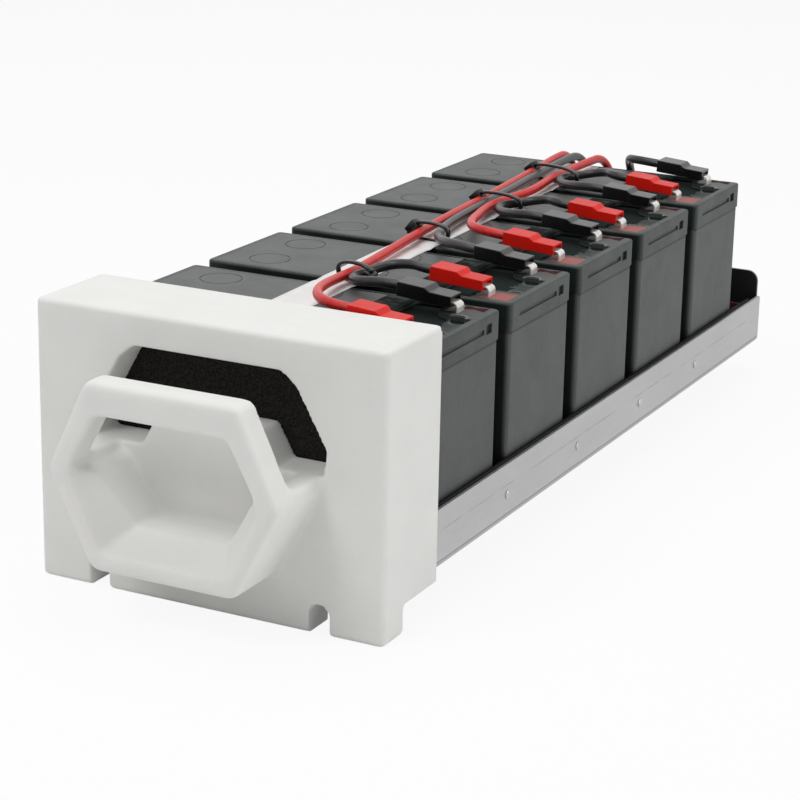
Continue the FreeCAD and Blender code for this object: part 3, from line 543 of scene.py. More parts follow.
@dataclass(frozen=True)
class BareSheet(Finish):
    """Bare folded steel with fine grain, a bend line low on its walls and a broken scribed line above it."""

    edge: float = 0.4 * MM
    bend_line: float = 19.9
    scribed_line: float = 33.2

    def draw(self, sheet: NodeSheet) -> None:
        """Draws the metal.

        Args:
            sheet: the tree.
        """
        _, _, z = sheet.axes()
        rolled = sheet.grain(0.7 * MM, 3.0, 0.7, (1.0, 14.0, 1.0))
        cloudy = sheet.grain(26 * MM, 4.0, 0.65, (1.0, 4.0, 1.0))
        grit = sheet.grain(0.9 * MM, 3.0, 0.75).ramp(0.3, 0.7)
        nicks = sheet.grain(0.9 * MM, 1.0, 0.5, (1.0, 9.0, 1.0)).ramp(0.72, 0.80)
        tone = sheet.mix(cloudy.ramp(0.3, 0.7), lighter(self.colour, 0.93), lighter(self.colour, 1.03))
        tone = sheet.mix(rolled.ramp(0.3, 0.7) * 0.14, tone, lighter(self.colour, 0.75))
        tone = sheet.mix(grit * 0.16, tone, lighter(self.colour, 0.65))
        tone = sheet.mix(nicks * 0.35, tone, lighter(self.colour, 1.2))
        stray = sheet.grain(16 * MM, 2.0, 0.6, (1.0, 2.0, 1.0))
        scribed = 1 - (abs(z - self.scribed_line + stray - 0.5) - 0.18).ramp(0.0, 0.25)
        bend = 1 - (abs(z - self.bend_line) - 0.2).ramp(0.0, 0.3)
        tone = sheet.mix(scribed * stray.ramp(0.42, 0.56) * 0.5, tone, lighter(self.colour, 0.45))
        tone = sheet.mix(bend * 0.6, tone, lighter(self.colour, 0.3))
        below = 1 - z.ramp(self.bend_line - 0.4, self.bend_line)
        tone = sheet.mix(below * 0.3, tone, lighter(self.colour, 0.6))
        sheet.surface({
            "Base Color": tone,
            "Metallic": 0.75,
            "Roughness": cloudy * 0.08 + rolled * 0.1 + (self.roughness - 0.08),
            "Normal": sheet.bump(rolled + nicks * 0.6, 0.012 * MM, self.edge),
        })


@dataclass(frozen=True)
class PlatedMetal(Finish):
    """Small plated parts: blades, screws, rivets and contacts."""

    metallic: float = 0.85

    def draw(self, sheet: NodeSheet) -> None:
        """Draws the metal.

        Args:
            sheet: the tree.
        """
        tarnish = sheet.grain(1.6 * MM, 3.0, 0.6)
        tone = sheet.mix(tarnish.ramp(0.35, 0.7), self.colour, lighter(self.colour, 0.72))
        sheet.surface({
            "Base Color": tone,
            "Metallic": self.metallic,
            "Roughness": tarnish * 0.2 + (self.roughness - 0.1),
            "Normal": sheet.bump(sheet.grain(0.5 * MM), 0.015 * MM, 0.25 * MM),
        })


@dataclass(frozen=True)
class OpenCellFoam(Finish):
    """Near-black foam with open cells and pale specks."""

    def draw(self, sheet: NodeSheet) -> None:
        """Draws the foam.

        Args:
            sheet: the tree.
        """
        inputs = {"Vector": sheet.place(), "Scale": 1 / (1.1 * MM), "Randomness": 1.0}
        cells = sheet.node("ShaderNodeTexVoronoi", {"feature": "F1"}, inputs).out("Distance")
        specks = sheet.grain(0.5 * MM, 1.0, 0.6).ramp(0.62, 0.74)
        tone = sheet.mix(cells.ramp(0.1, 0.7), lighter(self.colour, 0.5), lighter(self.colour, 1.5))
        tone = sheet.mix(specks * 0.35, tone, lighter(self.colour, 6.0))
        sheet.surface({
            "Base Color": tone,
            "Roughness": 1.0,
            "Normal": sheet.bump(cells, 0.35 * MM),
            "Specular IOR Level": 0.1,
        })


@dataclass(frozen=True)
class WireCover(Finish):
    """Soft insulation of a wire, with faint dust and a satin sheen."""

    def draw(self, sheet: NodeSheet) -> None:
        """Draws the insulation.

        Args:
            sheet: the tree.
        """
        dust = sheet.grain(3.5 * MM, 4.0, 0.7)
        pores = sheet.grain(0.5 * MM, 2.0, 0.6)
        tone = sheet.mix(dust.ramp(0.35, 0.7), lighter(self.colour, 0.85), lighter(self.colour, 1.18))
        tone = sheet.mix(pores.ramp(0.55, 0.8) * 0.3, tone, lighter(self.colour, 1.9))
        sheet.surface({
            "Base Color": tone,
            "Roughness": dust * 0.2 + (self.roughness - 0.1),
            "Normal": sheet.bump(pores, 0.03 * MM),
            "Specular IOR Level": 0.4,
        })


@dataclass(frozen=True)
class PaperTape(Finish):
    """Plain white tape with faint creases across it."""

    def draw(self, sheet: NodeSheet) -> None:
        """Draws the tape.

        Args:
            sheet: the tree.
        """
        creases = sheet.grain(2.2 * MM, 3.0, 0.6, (6.0, 1.0, 1.0))
        soil = sheet.grain(9 * MM, 4.0, 0.7)
        tone = sheet.mix(soil.ramp(0.45, 0.8) * 0.35, self.colour, lighter(self.colour, 0.72))
        sheet.surface({
            "Base Color": tone,
            "Roughness": self.roughness,
            "Normal": sheet.bump(creases, 0.12 * MM),
            "Specular IOR Level": 0.35,
        })


class Palette(Enum):
    """The finishes of the cartridge by the record's material slot."""

    bezel_white = MouldedPlastic(
        "bezel plastic", (0.775, 0.772, 0.752), 0.55, grain_size=0.5 * MM, grain_depth=0.03 * MM,
        mottle=0.018, gloss=0.3, depth_of_light=0.15,
    )
    black_foam = OpenCellFoam("open cell foam", (0.014, 0.0133, 0.0125), 1.0)
    tray_steel = BareSheet("bare tray steel", (0.49, 0.49, 0.495), 0.45)
    black_strip = MouldedPlastic("black strip", (0.003, 0.003, 0.0035), 0.7, gloss=0.15)
    panel_black = MouldedPlastic(
        "panel paint", (0.018, 0.018, 0.019), 0.30, grain_depth=0.008 * MM, edge=0.4 * MM, gloss=0.5,
    )
    fibre_red = MouldedPlastic("fibre board", (0.13, 0.035, 0.028), 0.4, mottle=0.2)
    connector_black = MouldedPlastic("connector plastic", (0.016, 0.016, 0.017), 0.45, edge=0.3 * MM)
    plated_steel = PlatedMetal("plated steel", (0.55, 0.55, 0.54), 0.35)
    contact_brass = PlatedMetal("contact brass", (0.70, 0.50, 0.22), 0.28)
    case_green_grey = CasePlastic(
        "battery case", (0.050, 0.0565, 0.0535), 0.50, grain_size=0.45 * MM, grain_depth=0.04 * MM,
        mottle=0.16, edge=0.4 * MM, gloss=0.4, speckle=0.25,
    )
    lid_green_grey = LidPlastic(
        "battery lid", (0.050, 0.058, 0.055), 0.40, grain_size=0.5 * MM, grain_depth=0.04 * MM, mottle=0.24,
        edge=0.4 * MM, gloss=0.18, speckle=0.25,
    )
    cover_grey = MouldedPlastic(
        "battery cover", (0.078, 0.083, 0.083), 0.55, grain_size=0.6 * MM, grain_depth=0.05 * MM, mottle=0.18,
        edge=0.25 * MM, gloss=0.45, speckle=0.2,
    )
    blade_tin = PlatedMetal("tinned blade", (0.84, 0.82, 0.78), 0.26, metallic=0.4)
    sleeve_red = MouldedPlastic(
        "red sleeve", (0.64, 0.012, 0.006), 0.36, grain_depth=0.01 * MM, mottle=0.06, gloss=0.15,
    )
    sleeve_black = MouldedPlastic(
        "black sleeve", (0.003, 0.003, 0.0033), 0.26, grain_depth=0.01 * MM, mottle=0.1, gloss=0.5,
    )
    tape_white = PaperTape("plain tape", (0.80, 0.80, 0.79), 0.6)
    wire_red = WireCover("red wire", (0.56, 0.014, 0.011), 0.36)
    wire_grey = WireCover("grey wire", (0.034, 0.034, 0.035), 0.30)
    wire_black = WireCover("black wire", (0.014, 0.014, 0.0145), 0.30)
    tie_black = MouldedPlastic("tie nylon", (0.004, 0.004, 0.004), 0.24, grain_depth=0.01 * MM, gloss=0.4)


class Dresser:
    """Keeps one material for each finish and puts it on nodes and pieces."""

    def __init__(self, frame: dict[str, Any]) -> None:
        """Keeps the frame and its slots.
        """
        self.frame = frame
        self.slots = {part["node"]: part["material_slot"] for part in frame["record"]["subparts"]}
        self.made: dict[str, bpy.types.Material] = {}

    def material(self, slot: str) -> bpy.types.Material:
        """The one material of a slot, built when first asked for.

        Args:
            slot: The slot's name in the palette.

        Returns:
            The slot's material.
        """
        if slot not in self.made:
            self.made[slot] = Palette[slot].value.material()
        return self.made[slot]

    def dress_nodes(self) -> None:
        """Puts the finish of its slot on every node of the frame."""
        for name, node in self.frame["nodes"].items():
            finish = self.material(self.slots[name])
            if not node.material_slots:
                node.data.materials.append(finish)
            for holder in node.material_slots:
                holder.material = finish
            LOG.info("node %s: %s", name, finish.name)

    def add(self, piece: bpy.types.Object, slot: str, *nodes: str) -> None:
        """Finishes a new piece and tells the frame about it.

        Args:
            piece: the new object.
            slot: its slot in the record.
            nodes: the nodes it stands for.
        """
        piece.data.materials.clear()
        piece.data.materials.append(self.material(slot))
        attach(piece, BODY)
        if nodes:
            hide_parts(*nodes)
        LOG.info("piece %s replaces %s", piece.name, nodes)


# ---------------------------------------------------------------- mesh helpers
def place_mesh(name: str, mesh: bmesh.types.BMesh, smooth: bool = True) -> bpy.types.Object:
    """Makes an object at the origin from a mesh in metres.

    Args:
        name: name of the piece.
        mesh: its shape, freed afterwards.
        smooth: whether its faces are shaded smooth.

    Returns:
        The new object.
    """
    bmesh.ops.recalc_face_normals(mesh, faces=mesh.faces)
    for face in mesh.faces:
        face.smooth = smooth
    data = bpy.data.meshes.new(name)
    mesh.to_mesh(data)
    mesh.free()
    piece = bpy.data.objects.new(name, data)
    bpy.context.scene.collection.objects.link(piece)
    return piece


def apply_modifiers(piece: bpy.types.Object) -> None:
    """Turns a piece's modifiers into its mesh.

    Args:
        piece: The piece, left without modifiers.
    """
    graph = bpy.context.evaluated_depsgraph_get()
    data = bpy.data.meshes.new_from_object(piece.evaluated_get(graph))
    piece.modifiers.clear()
    piece.data = data


def bevel(
    mesh: bmesh.types.BMesh, edges: Iterable[bmesh.types.BMEdge], offset: float, segments: int = 2,
    clamp: bool = False,
) -> None:
    """Rounds edges of a mesh.

    Args:
        mesh: the mesh.
        edges: the edges to round.
        offset: width of the rounding, in the mesh's unit.
        segments: faces across the rounding.
        clamp: whether the rounding stops where faces would cross.
    """
    bmesh.ops.bevel(
        mesh, geom=list(edges), offset=offset, segments=segments, profile=0.5, affect="EDGES", material=-1,
        clamp_overlap=clamp,
    )


def join_rings(mesh: bmesh.types.BMesh, rings: Iterable[tuple[list, list]]) -> None:
    """Fills the side faces between pairs of rings of as many corners.

    Args:
        mesh: the mesh that holds the corners.
        rings: pairs of neighbouring rings.
    """
    for first, second in rings:
        for corner, _ in enumerate(first):
            after = (corner + 1) % len(first)
            mesh.faces.new((first[corner], first[after], second[after], second[corner]))


def extrude_through(
    mesh: bmesh.types.BMesh, face: bmesh.types.BMFace, move: Callable[[Vector], Vector],
) -> bmesh.types.BMFace:
    """Extrudes a face and moves the new one.

    Args:
        mesh: the mesh.
        face: the face to extrude, removed afterwards.
        move: gives a new place for each of its corners.

    Returns:
        The new face.
    """
    result = bmesh.ops.extrude_discrete_faces(mesh, faces=[face])
    grown = result["faces"][0]
    for corner in grown.verts:
        corner.co = move(corner.co)
    return grown


# ---------------------------------------------------------------- front bezel
@dataclass
class FrontBezel:
    """The moulded bezel with its ring handle, and the foam behind it."""

    dresser: Dresser
    voxel: float = 1.1 * MM
    weld: float = 0.002 * MM
    shell_rounds: int = 2
    ring_rounds: int = 14
    ring_from_face: float = 0.5 * MM
    bowl_floor_y: float = -232.5 * MM
    bowl_reach: Point = (31.0 * MM, 34.0 * MM, 84.0 * MM)
    bowl_weight: float = 0.2
    foam_ripple: float = 0.25 * MM
    foam_wave: float = 14 * MM
    foam_step: float = 5.0 * MM
    foam_edge: float = 1.2 * MM

    def in_bowl(self, place: Vector) -> bool:
        """Whether a place lies deep in the bowl, where the moulding keeps its creases."""
        half, low, high = self.bowl_reach
        return place.y > self.bowl_floor_y and abs(place.x) < half and low < place.z < high

    def softened_shell(self) -> None:
        """Rounds the bezel's edges as moulding leaves them."""
        node = self.dresser.frame["nodes"]["front_bezel"]
        shape = bmesh.new()
        shape.from_mesh(node.data)
        bmesh.ops.remove_doubles(shape, verts=shape.verts, dist=self.weld)
        piece = place_mesh("bezel_shell", shape)
        remesh = piece.modifiers.new("skin", "REMESH")
        remesh.mode = "VOXEL"
        remesh.voxel_size = self.voxel
        remesh.use_smooth_shade = True
        apply_modifiers(piece)
        ring = piece.vertex_groups.new(name="ring")
        for corner in piece.data.vertices:
            if corner.co.y < FACE_Y * MM - self.ring_from_face:
                ring.add([corner.index], self.bowl_weight if self.in_bowl(corner.co) else 1.0, "REPLACE")
        for name, rounds in (("soften", self.shell_rounds), ("ring", self.ring_rounds)):
            soften = piece.modifiers.new(name, "SMOOTH")
            soften.factor = 0.5
            soften.iterations = rounds
            soften.vertex_group = "ring" if name == "ring" else ""
        apply_modifiers(piece)
        for face in piece.data.polygons:
            face.use_smooth = True
        self.dresser.add(piece, "bezel_white", "front_bezel")

    def foam(self) -> None:
        """A foam block with faintly wavy faces and rounded edges."""
        low, high = (Vector(corner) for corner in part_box("bezel_foam"))
        size = high - low
        middle = (low + high) / 2
        block = bmesh.new()
        whole = Matrix.Translation(middle) @ Matrix.Diagonal((*size, 1.0))
        bmesh.ops.create_cube(block, size=1.0, matrix=whole)
        bevel(block, block.edges, self.foam_edge)
        for axis in range(3):
            steps = int(size[axis] / self.foam_step)
            for step in range(1, steps):
                cut = low.copy()
                cut[axis] += size[axis] * step / steps
                normal = Vector((0, 0, 0))
                normal[axis] = 1
                geometry = list(block.verts) + list(block.edges) + list(block.faces)
                bmesh.ops.bisect_plane(block, geom=geometry, plane_co=cut, plane_no=normal)
        for corner in block.verts:
            ripple = noise.noise(corner.co / self.foam_wave) * self.foam_ripple - self.foam_ripple
            inwards = (middle - corner.co).normalized()
            corner.co += inwards * abs(ripple)
        piece = place_mesh("foam_block", block)
        self.dresser.add(piece, "black_foam", "bezel_foam")

    def build(self) -> None:
        """Builds both pieces."""
        self.softened_shell()
        self.foam()


# ---------------------------------------------------------------- sleeves
@dataclass(frozen=True)
class Terminal:
    """A blade: stem of its sleeve's node, slot and place from the battery's front side in millimetres."""

    node: str
    slot: str
    inset: float


class Sign(Enum):
    """The two blades of a battery."""

    PLUS = Terminal("positive_sleeve", "sleeve_red", 8.6)
    MINUS = Terminal("negative_sleeve", "sleeve_black", 53.0)


@dataclass
class BatteryRow:
    """Sleeves of the batteries. All lengths are in millimetres."""

    dresser: Dresser
    count: int = 5
    blade_x: float = 64.1
    pivot_x: float = 64.5
    pivot_z: float = 117.2
    tilt: float = 4.5
    mouth: float = 2.2
    length: float = 25.2
    mouth_length: float = 10.2
    slope: float = 2.2
    low: float = 115.1
    mouth_size: Point = (10.2, 4.6, 0.0)
    barrel_size: Point = (11.6, 6.2, 0.0)
    edge: float = 0.3
    wall: float = 0.75
    mouth_depth: float = 3.4
    blade_size: Point = (8.0, 6.35, 0.8)
    blade_rise: float = 3.6
    blade_root: float = 3.0
    bend: float = 2.1
    bend_steps: int = 8
    blade_edge: float = 0.12

    def blade_y(self, index: int, sign: Sign) -> float:
        """Middle of a blade along Y."""
        return ROW_FRONT + index * BATTERY_PITCH + sign.value.inset

    def tilted(self, point: Vector) -> Vector:
        """A point turned with the sleeve about its blade's bend.

        Args:
            point: in millimetres.

        Returns:
            The turned point.
        """
        pivot = Vector((self.pivot_x, point.y, self.pivot_z))
        turn = Matrix.Rotation(math.radians(self.tilt), 3, "Y")
        return pivot + turn @ (point - pivot)

    def exit(self, index: int, sign: Sign, lead: float) -> list[Point]:
        """Where a wire leaves a sleeve, and the end of its straight lead.

        Args:
            index: the battery, from 0.
            sign: its blade.
            lead: length of the straight start.

        Returns:
            Two points in millimetres.
        """
        x = self.blade_x - self.mouth - self.length
        z = self.low + self.barrel_size[1] / 2
        y = self.blade_y(index, sign)
        return [tuple(self.tilted(Vector((x - reach, y, z)))) for reach in (0.0, lead)]

    def sleeve(self, index: int, sign: Sign) -> None:
        """A soft sleeve with rounded edges and an open mouth around its blade.

        Args:
            index: the battery, from 0.
            sign: its blade.
        """
        y = self.blade_y(index, sign)
        left = self.blade_x - self.mouth - self.length
        right = left + self.length
        step = right - self.mouth_length
        stations = [(step - self.slope, self.barrel_size), (step, self.mouth_size), (right, self.mouth_size)]
        shape = bmesh.new()
        bmesh.ops.create_cube(shape, size=1.0)
        wide, high, _ = self.barrel_size
        for corner in shape.verts:
            x = left if corner.co.x < 0 else stations[0][0]
            corner.co = Vector((x, y + corner.co.y * wide, self.low + (corner.co.z + 0.5) * high))
        face = max(shape.faces, key=lambda side: side.normal.x)
        for x, (wide, high, _) in stations[1:]:
            face = extrude_through(
                shape, face,
                lambda co, x=x, wide=wide, high=high: Vector((
                    x, y + math.copysign(wide / 2, co.y - y),
                    self.low + (high if co.z > self.low + 1 else 0.0),
                )),
            )
        bmesh.ops.recalc_face_normals(shape, faces=shape.faces)
        bevel(shape, shape.edges, self.edge, segments=3, clamp=True)
        mouth = max((f for f in shape.faces if f.normal.x > 0.99), key=lambda f: f.calc_area())
        bmesh.ops.inset_region(shape, faces=[mouth], thickness=self.wall, use_even_offset=True)
        extrude_through(shape, mouth, lambda co: co - Vector((self.mouth_depth, 0, 0)))
        for corner in shape.verts:
            corner.co = self.tilted(corner.co) * MM
        number = index + 1
        piece = place_mesh(f"{sign.value.node.split('_')[0]}_boot_{number}", shape, smooth=False)
        self.dresser.add(piece, sign.value.slot, f"{sign.value.node}_{number}")

    def blade_line(self) -> list[Point]:
        """Middle line of a blade's section from its root over into the sleeve, as (x, z) points.

        Returns:
            The points, in millimetres.
        """
        reach, _, thickness = self.blade_size
        top = LID_TOP + self.blade_rise + thickness / 2
        turn = math.radians(90 - self.tilt)
        centre = Vector((self.blade_x - self.bend, 0, top - self.bend))
        line = [(self.blade_x, LID_TOP - self.blade_root), (self.blade_x, LID_TOP)]
        for step in range(self.bend_steps + 1):
            angle = turn * step / self.bend_steps
            line.append((centre.x + self.bend * math.cos(angle), centre.z + self.bend * math.sin(angle)))
        x, z = line[-1]
        rest = reach - self.bend
        tilt = math.radians(self.tilt)
        line.append((x - rest * math.cos(tilt), z + rest * math.sin(tilt)))
        return line

    def blades(self, index: int) -> None:
        """The two tinned blades of a battery, each bent over in a round bend.

        Args:
            index: the battery, from 0.
        """
        line = [Vector((x, 0, z)) for x, z in self.blade_line()]
        _, width, thickness = self.blade_size
        shape = bmesh.new()
        for sign in Sign:
            middle = self.blade_y(index, sign)
            rings = []
            for place, point in enumerate(line):
                along = (line[min(place + 1, len(line) - 1)] - line[max(place - 1, 0)]).normalized()
                across = Vector((along.z, 0, -along.x)) * (thickness / 2)
                corners = [(across, -1), (across, 1), (-across, 1), (-across, -1)]
                rings.append([
                    shape.verts.new(point + offset + Vector((0, middle + side * width / 2, 0)))
                    for offset, side in corners
                ])
            join_rings(shape, zip(rings, rings[1:]))
            shape.faces.new(rings[0])
            shape.faces.new(rings[-1])
        bmesh.ops.recalc_face_normals(shape, faces=shape.faces)
        sharp = [edge for edge in shape.edges if edge.calc_face_angle(0.0) > math.radians(60)]
        bevel(shape, sharp, self.blade_edge)
        for corner in shape.verts:
            corner.co *= MM
        number = index + 1
        piece = place_mesh(f"bent_blades_{number}", shape)
        self.dresser.add(piece, "blade_tin", f"battery_blades_{number}")

    def build(self) -> None:
        """Builds every sleeve and blade."""
        for index in range(self.count):
            self.blades(index)
            for sign in Sign:
                self.sleeve(index, sign)


# ---------------------------------------------------------------- wires and tape
@dataclass
class WireBundle:
    """Wires and tape. Routes are (x, y behind the bezel's face, z), and all lengths are in millimetres."""

    dresser: Dresser
    row: BatteryRow
    routes: dict[str, list[Point]]
    diameter: float = 4.4
    lead: float = 9.0
    jumper_lead: float = 8.0
    jumper_end_lead: float = 6.0
    connector_y: float = 234.75
    connector_z: float = 47.0
    pockets: tuple[float, ...] = (-16.5, -5.5, 5.5, 16.5)
    gap_middle: float = 70.2
    gap_reach: float = 6.0
    tape_sag: float = 0.5
    tape_shift: float = 1.0
    tape_thickness: float = 0.12

    def from_face(self, points: Iterable[Point]) -> list[Point]:
        """Points moved from the bezel's face to the cartridge's origin."""
        return [(x, y + FACE_Y, z) for x, y, z in points]

    def wire(self, name: str, slot: str, points: list[Point], node: str) -> None:
        """One smooth wire.

        Args:
            name: name of the piece.
            slot: its material slot.
            points: its control points, in millimetres.
            node: the node it stands for.
        """
        curve = bpy.data.curves.new(name, "CURVE")
        curve.dimensions = "3D"
        curve.bevel_depth = self.diameter / 2 * MM
        curve.bevel_resolution = 5
        curve.resolution_u = 8
        curve.use_fill_caps = True
        spline = curve.splines.new("NURBS")
        spline.points.add(len(points) - 1)
        for target, point in zip(spline.points, points):
            target.co = (*(part * MM for part in point), 1.0)
        spline.order_u = 3
        spline.use_endpoint_u = True
        piece = bpy.data.objects.new(name, curve)
        bpy.context.scene.collection.objects.link(piece)
        self.dresser.add(piece, slot, node)

    def long_wire(self, name: str, slot: str, start: tuple[int, Sign], pocket: int) -> None:
        """A wire from a sleeve along the bundle to the rear connector.

        Args:
            name: stem of the node's name.
            slot: its material slot.
            start: battery and blade.
            pocket: its place in the connector.
        """
        points = self.row.exit(*start, self.lead) + self.from_face(self.routes[name])
        points.append((self.pockets[pocket], self.connector_y, self.connector_z))
        self.wire(f"{name}_run", slot, points, name)

    def jumper(self, index: int) -> None:
        """A wire from one battery's negative blade to the next one's positive blade.

        Args:
            index: the first battery, from 0.
        """
        name = f"jumper_{index + 1}_{index + 2}"
        start = self.row.exit(index, Sign.MINUS, self.jumper_lead)
        end = self.row.exit(index + 1, Sign.PLUS, self.jumper_end_lead)
        points = start + self.from_face(self.routes[name]) + end[::-1]
        self.wire(f"{name}_run", "wire_black", points, name)

    def tape(self) -> None:
        """Plain tape along the tops of the batteries, sagging a little over each gap."""
        low, high = (Vector(corner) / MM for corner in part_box("seal_tape"))
        lean = high.x - low.x - TAPE_WIDTH
        strip = bmesh.new()
        bmesh.ops.create_grid(strip, x_segments=8, y_segments=150, size=0.5)
        for corner in strip.verts:
            along = corner.co.y + 0.5
            y = low.y + (high.y - low.y) * along
            left = high.x - self.tape_shift - TAPE_WIDTH - lean * along
            x = left + TAPE_WIDTH * (corner.co.x + 0.5)
            place = (y - ROW_FRONT) % BATTERY_PITCH
            gap = 1 - min(1.0, abs(place - self.gap_middle) / self.gap_reach)
            crease = noise.noise(Vector((x / 9, y / 5, 0.0)))
            z = high.z - 0.05 - gap ** 2 * self.tape_sag + crease * 0.04
            corner.co = Vector((x, y, z)) * MM
        bmesh.ops.solidify(strip, geom=list(strip.faces), thickness=self.tape_thickness * MM)
        piece = place_mesh("plain_tape", strip)
        self.dresser.add(piece, "tape_white", "seal_tape")

    def build(self) -> None:
        """Builds every wire and the tape."""
        self.long_wire("wire_red_1", "wire_red", (0, Sign.PLUS), 0)
        self.long_wire("wire_grey_2", "wire_grey", (1, Sign.MINUS), 1)
        self.long_wire("wire_red_3", "wire_red", (2, Sign.PLUS), 2)
        self.long_wire("wire_black_5", "wire_black", (4, Sign.MINUS), 3)
        for index in (0, 2, 3):
            self.jumper(index)
        self.tape()


# ---------------------------------------------------------------- cable ties
@dataclass(frozen=True)
class CableTie:
    """A thin tie looped loosely over the wires, with a locking head. All lengths are in millimetres."""

    number: int
    middle: float
    place: float
    half: float
    lean: float
    low: float = 113.2
    high: float = 121.4
    width: float = 2.5
    thickness: float = 1.3
    roundness: float = 2.5
    stations: int = 56
    head: Point = (5.8, 6.2, 4.6)
    head_angle: float = 158.0
    head_lift: float = 0.9
    cut_end: float = 1.6
    edge: float = 0.35

    def point(self, angle: float) -> Vector:
        """A place on the loop's middle line.

        Args:
            angle: about Y, in radians from the right end.

        Returns:
            The place, in millimetres.
        """
        across, up = math.cos(angle), math.sin(angle)
        x = math.copysign(abs(across) ** (2 / self.roundness), across) * self.half
        z = math.copysign(abs(up) ** (2 / self.roundness), up) * (self.high - self.low) / 2
        y = FACE_Y + self.place + self.lean * (x / self.half)
        return Vector((self.middle + x, y, (self.high + self.low) / 2 + z))

    def frame(self, angle: float) -> tuple[Vector, Vector, Vector]:
        """Directions at a place on the loop.

        Args:
            angle: The place, in radians around the loop.

        Returns:
            The directions along the loop, outwards and across the band.
        """
        step = math.radians(1.5)
        along = (self.point(angle + step) - self.point(angle - step)).normalized()
        across = Vector((0, 1, 0)) - along * along.y
        across.normalize()
        return along, along.cross(across).normalized(), across

    def band(self, shape: bmesh.types.BMesh) -> None:
        """Adds the looped band.

        Args:
            shape: the mesh to add to.
        """
        rings = []
        for station in range(self.stations):
            angle = math.tau * station / self.stations
            _, outwards, across = self.frame(angle)
            corners = []
            for side, out in ((-1, -0.5), (-1, 0.2), (-0.7, 0.5), (0.7, 0.5), (1, 0.2), (1, -0.5)):
                offset = across * (side * self.width / 2) + outwards * (out * self.thickness)
                corners.append(shape.verts.new(self.point(angle) + offset))
            rings.append(corners)
        join_rings(shape, zip(rings, rings[1:] + rings[:1]))

    def locking_head(self, shape: bmesh.types.BMesh) -> None:
        """Adds the head, with the short cut end of the band above it.

        Args:
            shape: the mesh to add to.
        """
        angle = math.radians(self.head_angle)
        along, outwards, across = self.frame(angle)
        axes = Matrix((across, along, outwards)).transposed().to_4x4()
        spot = self.point(angle) + outwards * self.head_lift
        end = (self.width, self.cut_end, self.thickness)
        for size, move in ((self.head, 0.0), (end, self.head[1] / 2 + 0.7)):
            turned = Matrix.Translation(spot + along * move) @ axes @ Matrix.Diagonal((*size, 1.0))
            block = bmesh.ops.create_cube(shape, size=1.0, matrix=turned)
            edges = {edge for corner in block["verts"] for edge in corner.link_edges}
            bevel(shape, edges, self.edge)

    def build(self, dresser: Dresser) -> None:
        """Builds the tie.

        Args:
            dresser: Gives the tie its material and body.
        """
        shape = bmesh.new()
        self.band(shape)
        self.locking_head(shape)
        for corner in shape.verts:
            corner.co *= MM
        piece = place_mesh(f"looped_tie_{self.number}", shape)
        dresser.add(piece, "tie_black", f"cable_tie_{self.number}")


CABLE_TIES: tuple[CableTie, ...] = (
    CableTie(1, 2.8, 119.5, 8.8, -1.5, head_angle=-18.0),
    CableTie(2, -3.9, 206.5, 9.9, -0.5),
    CableTie(3, -3.9, 283.0, 13.4, -1.5),
    CableTie(4, -7.6, 360.2, 15.4, -4.0),
)


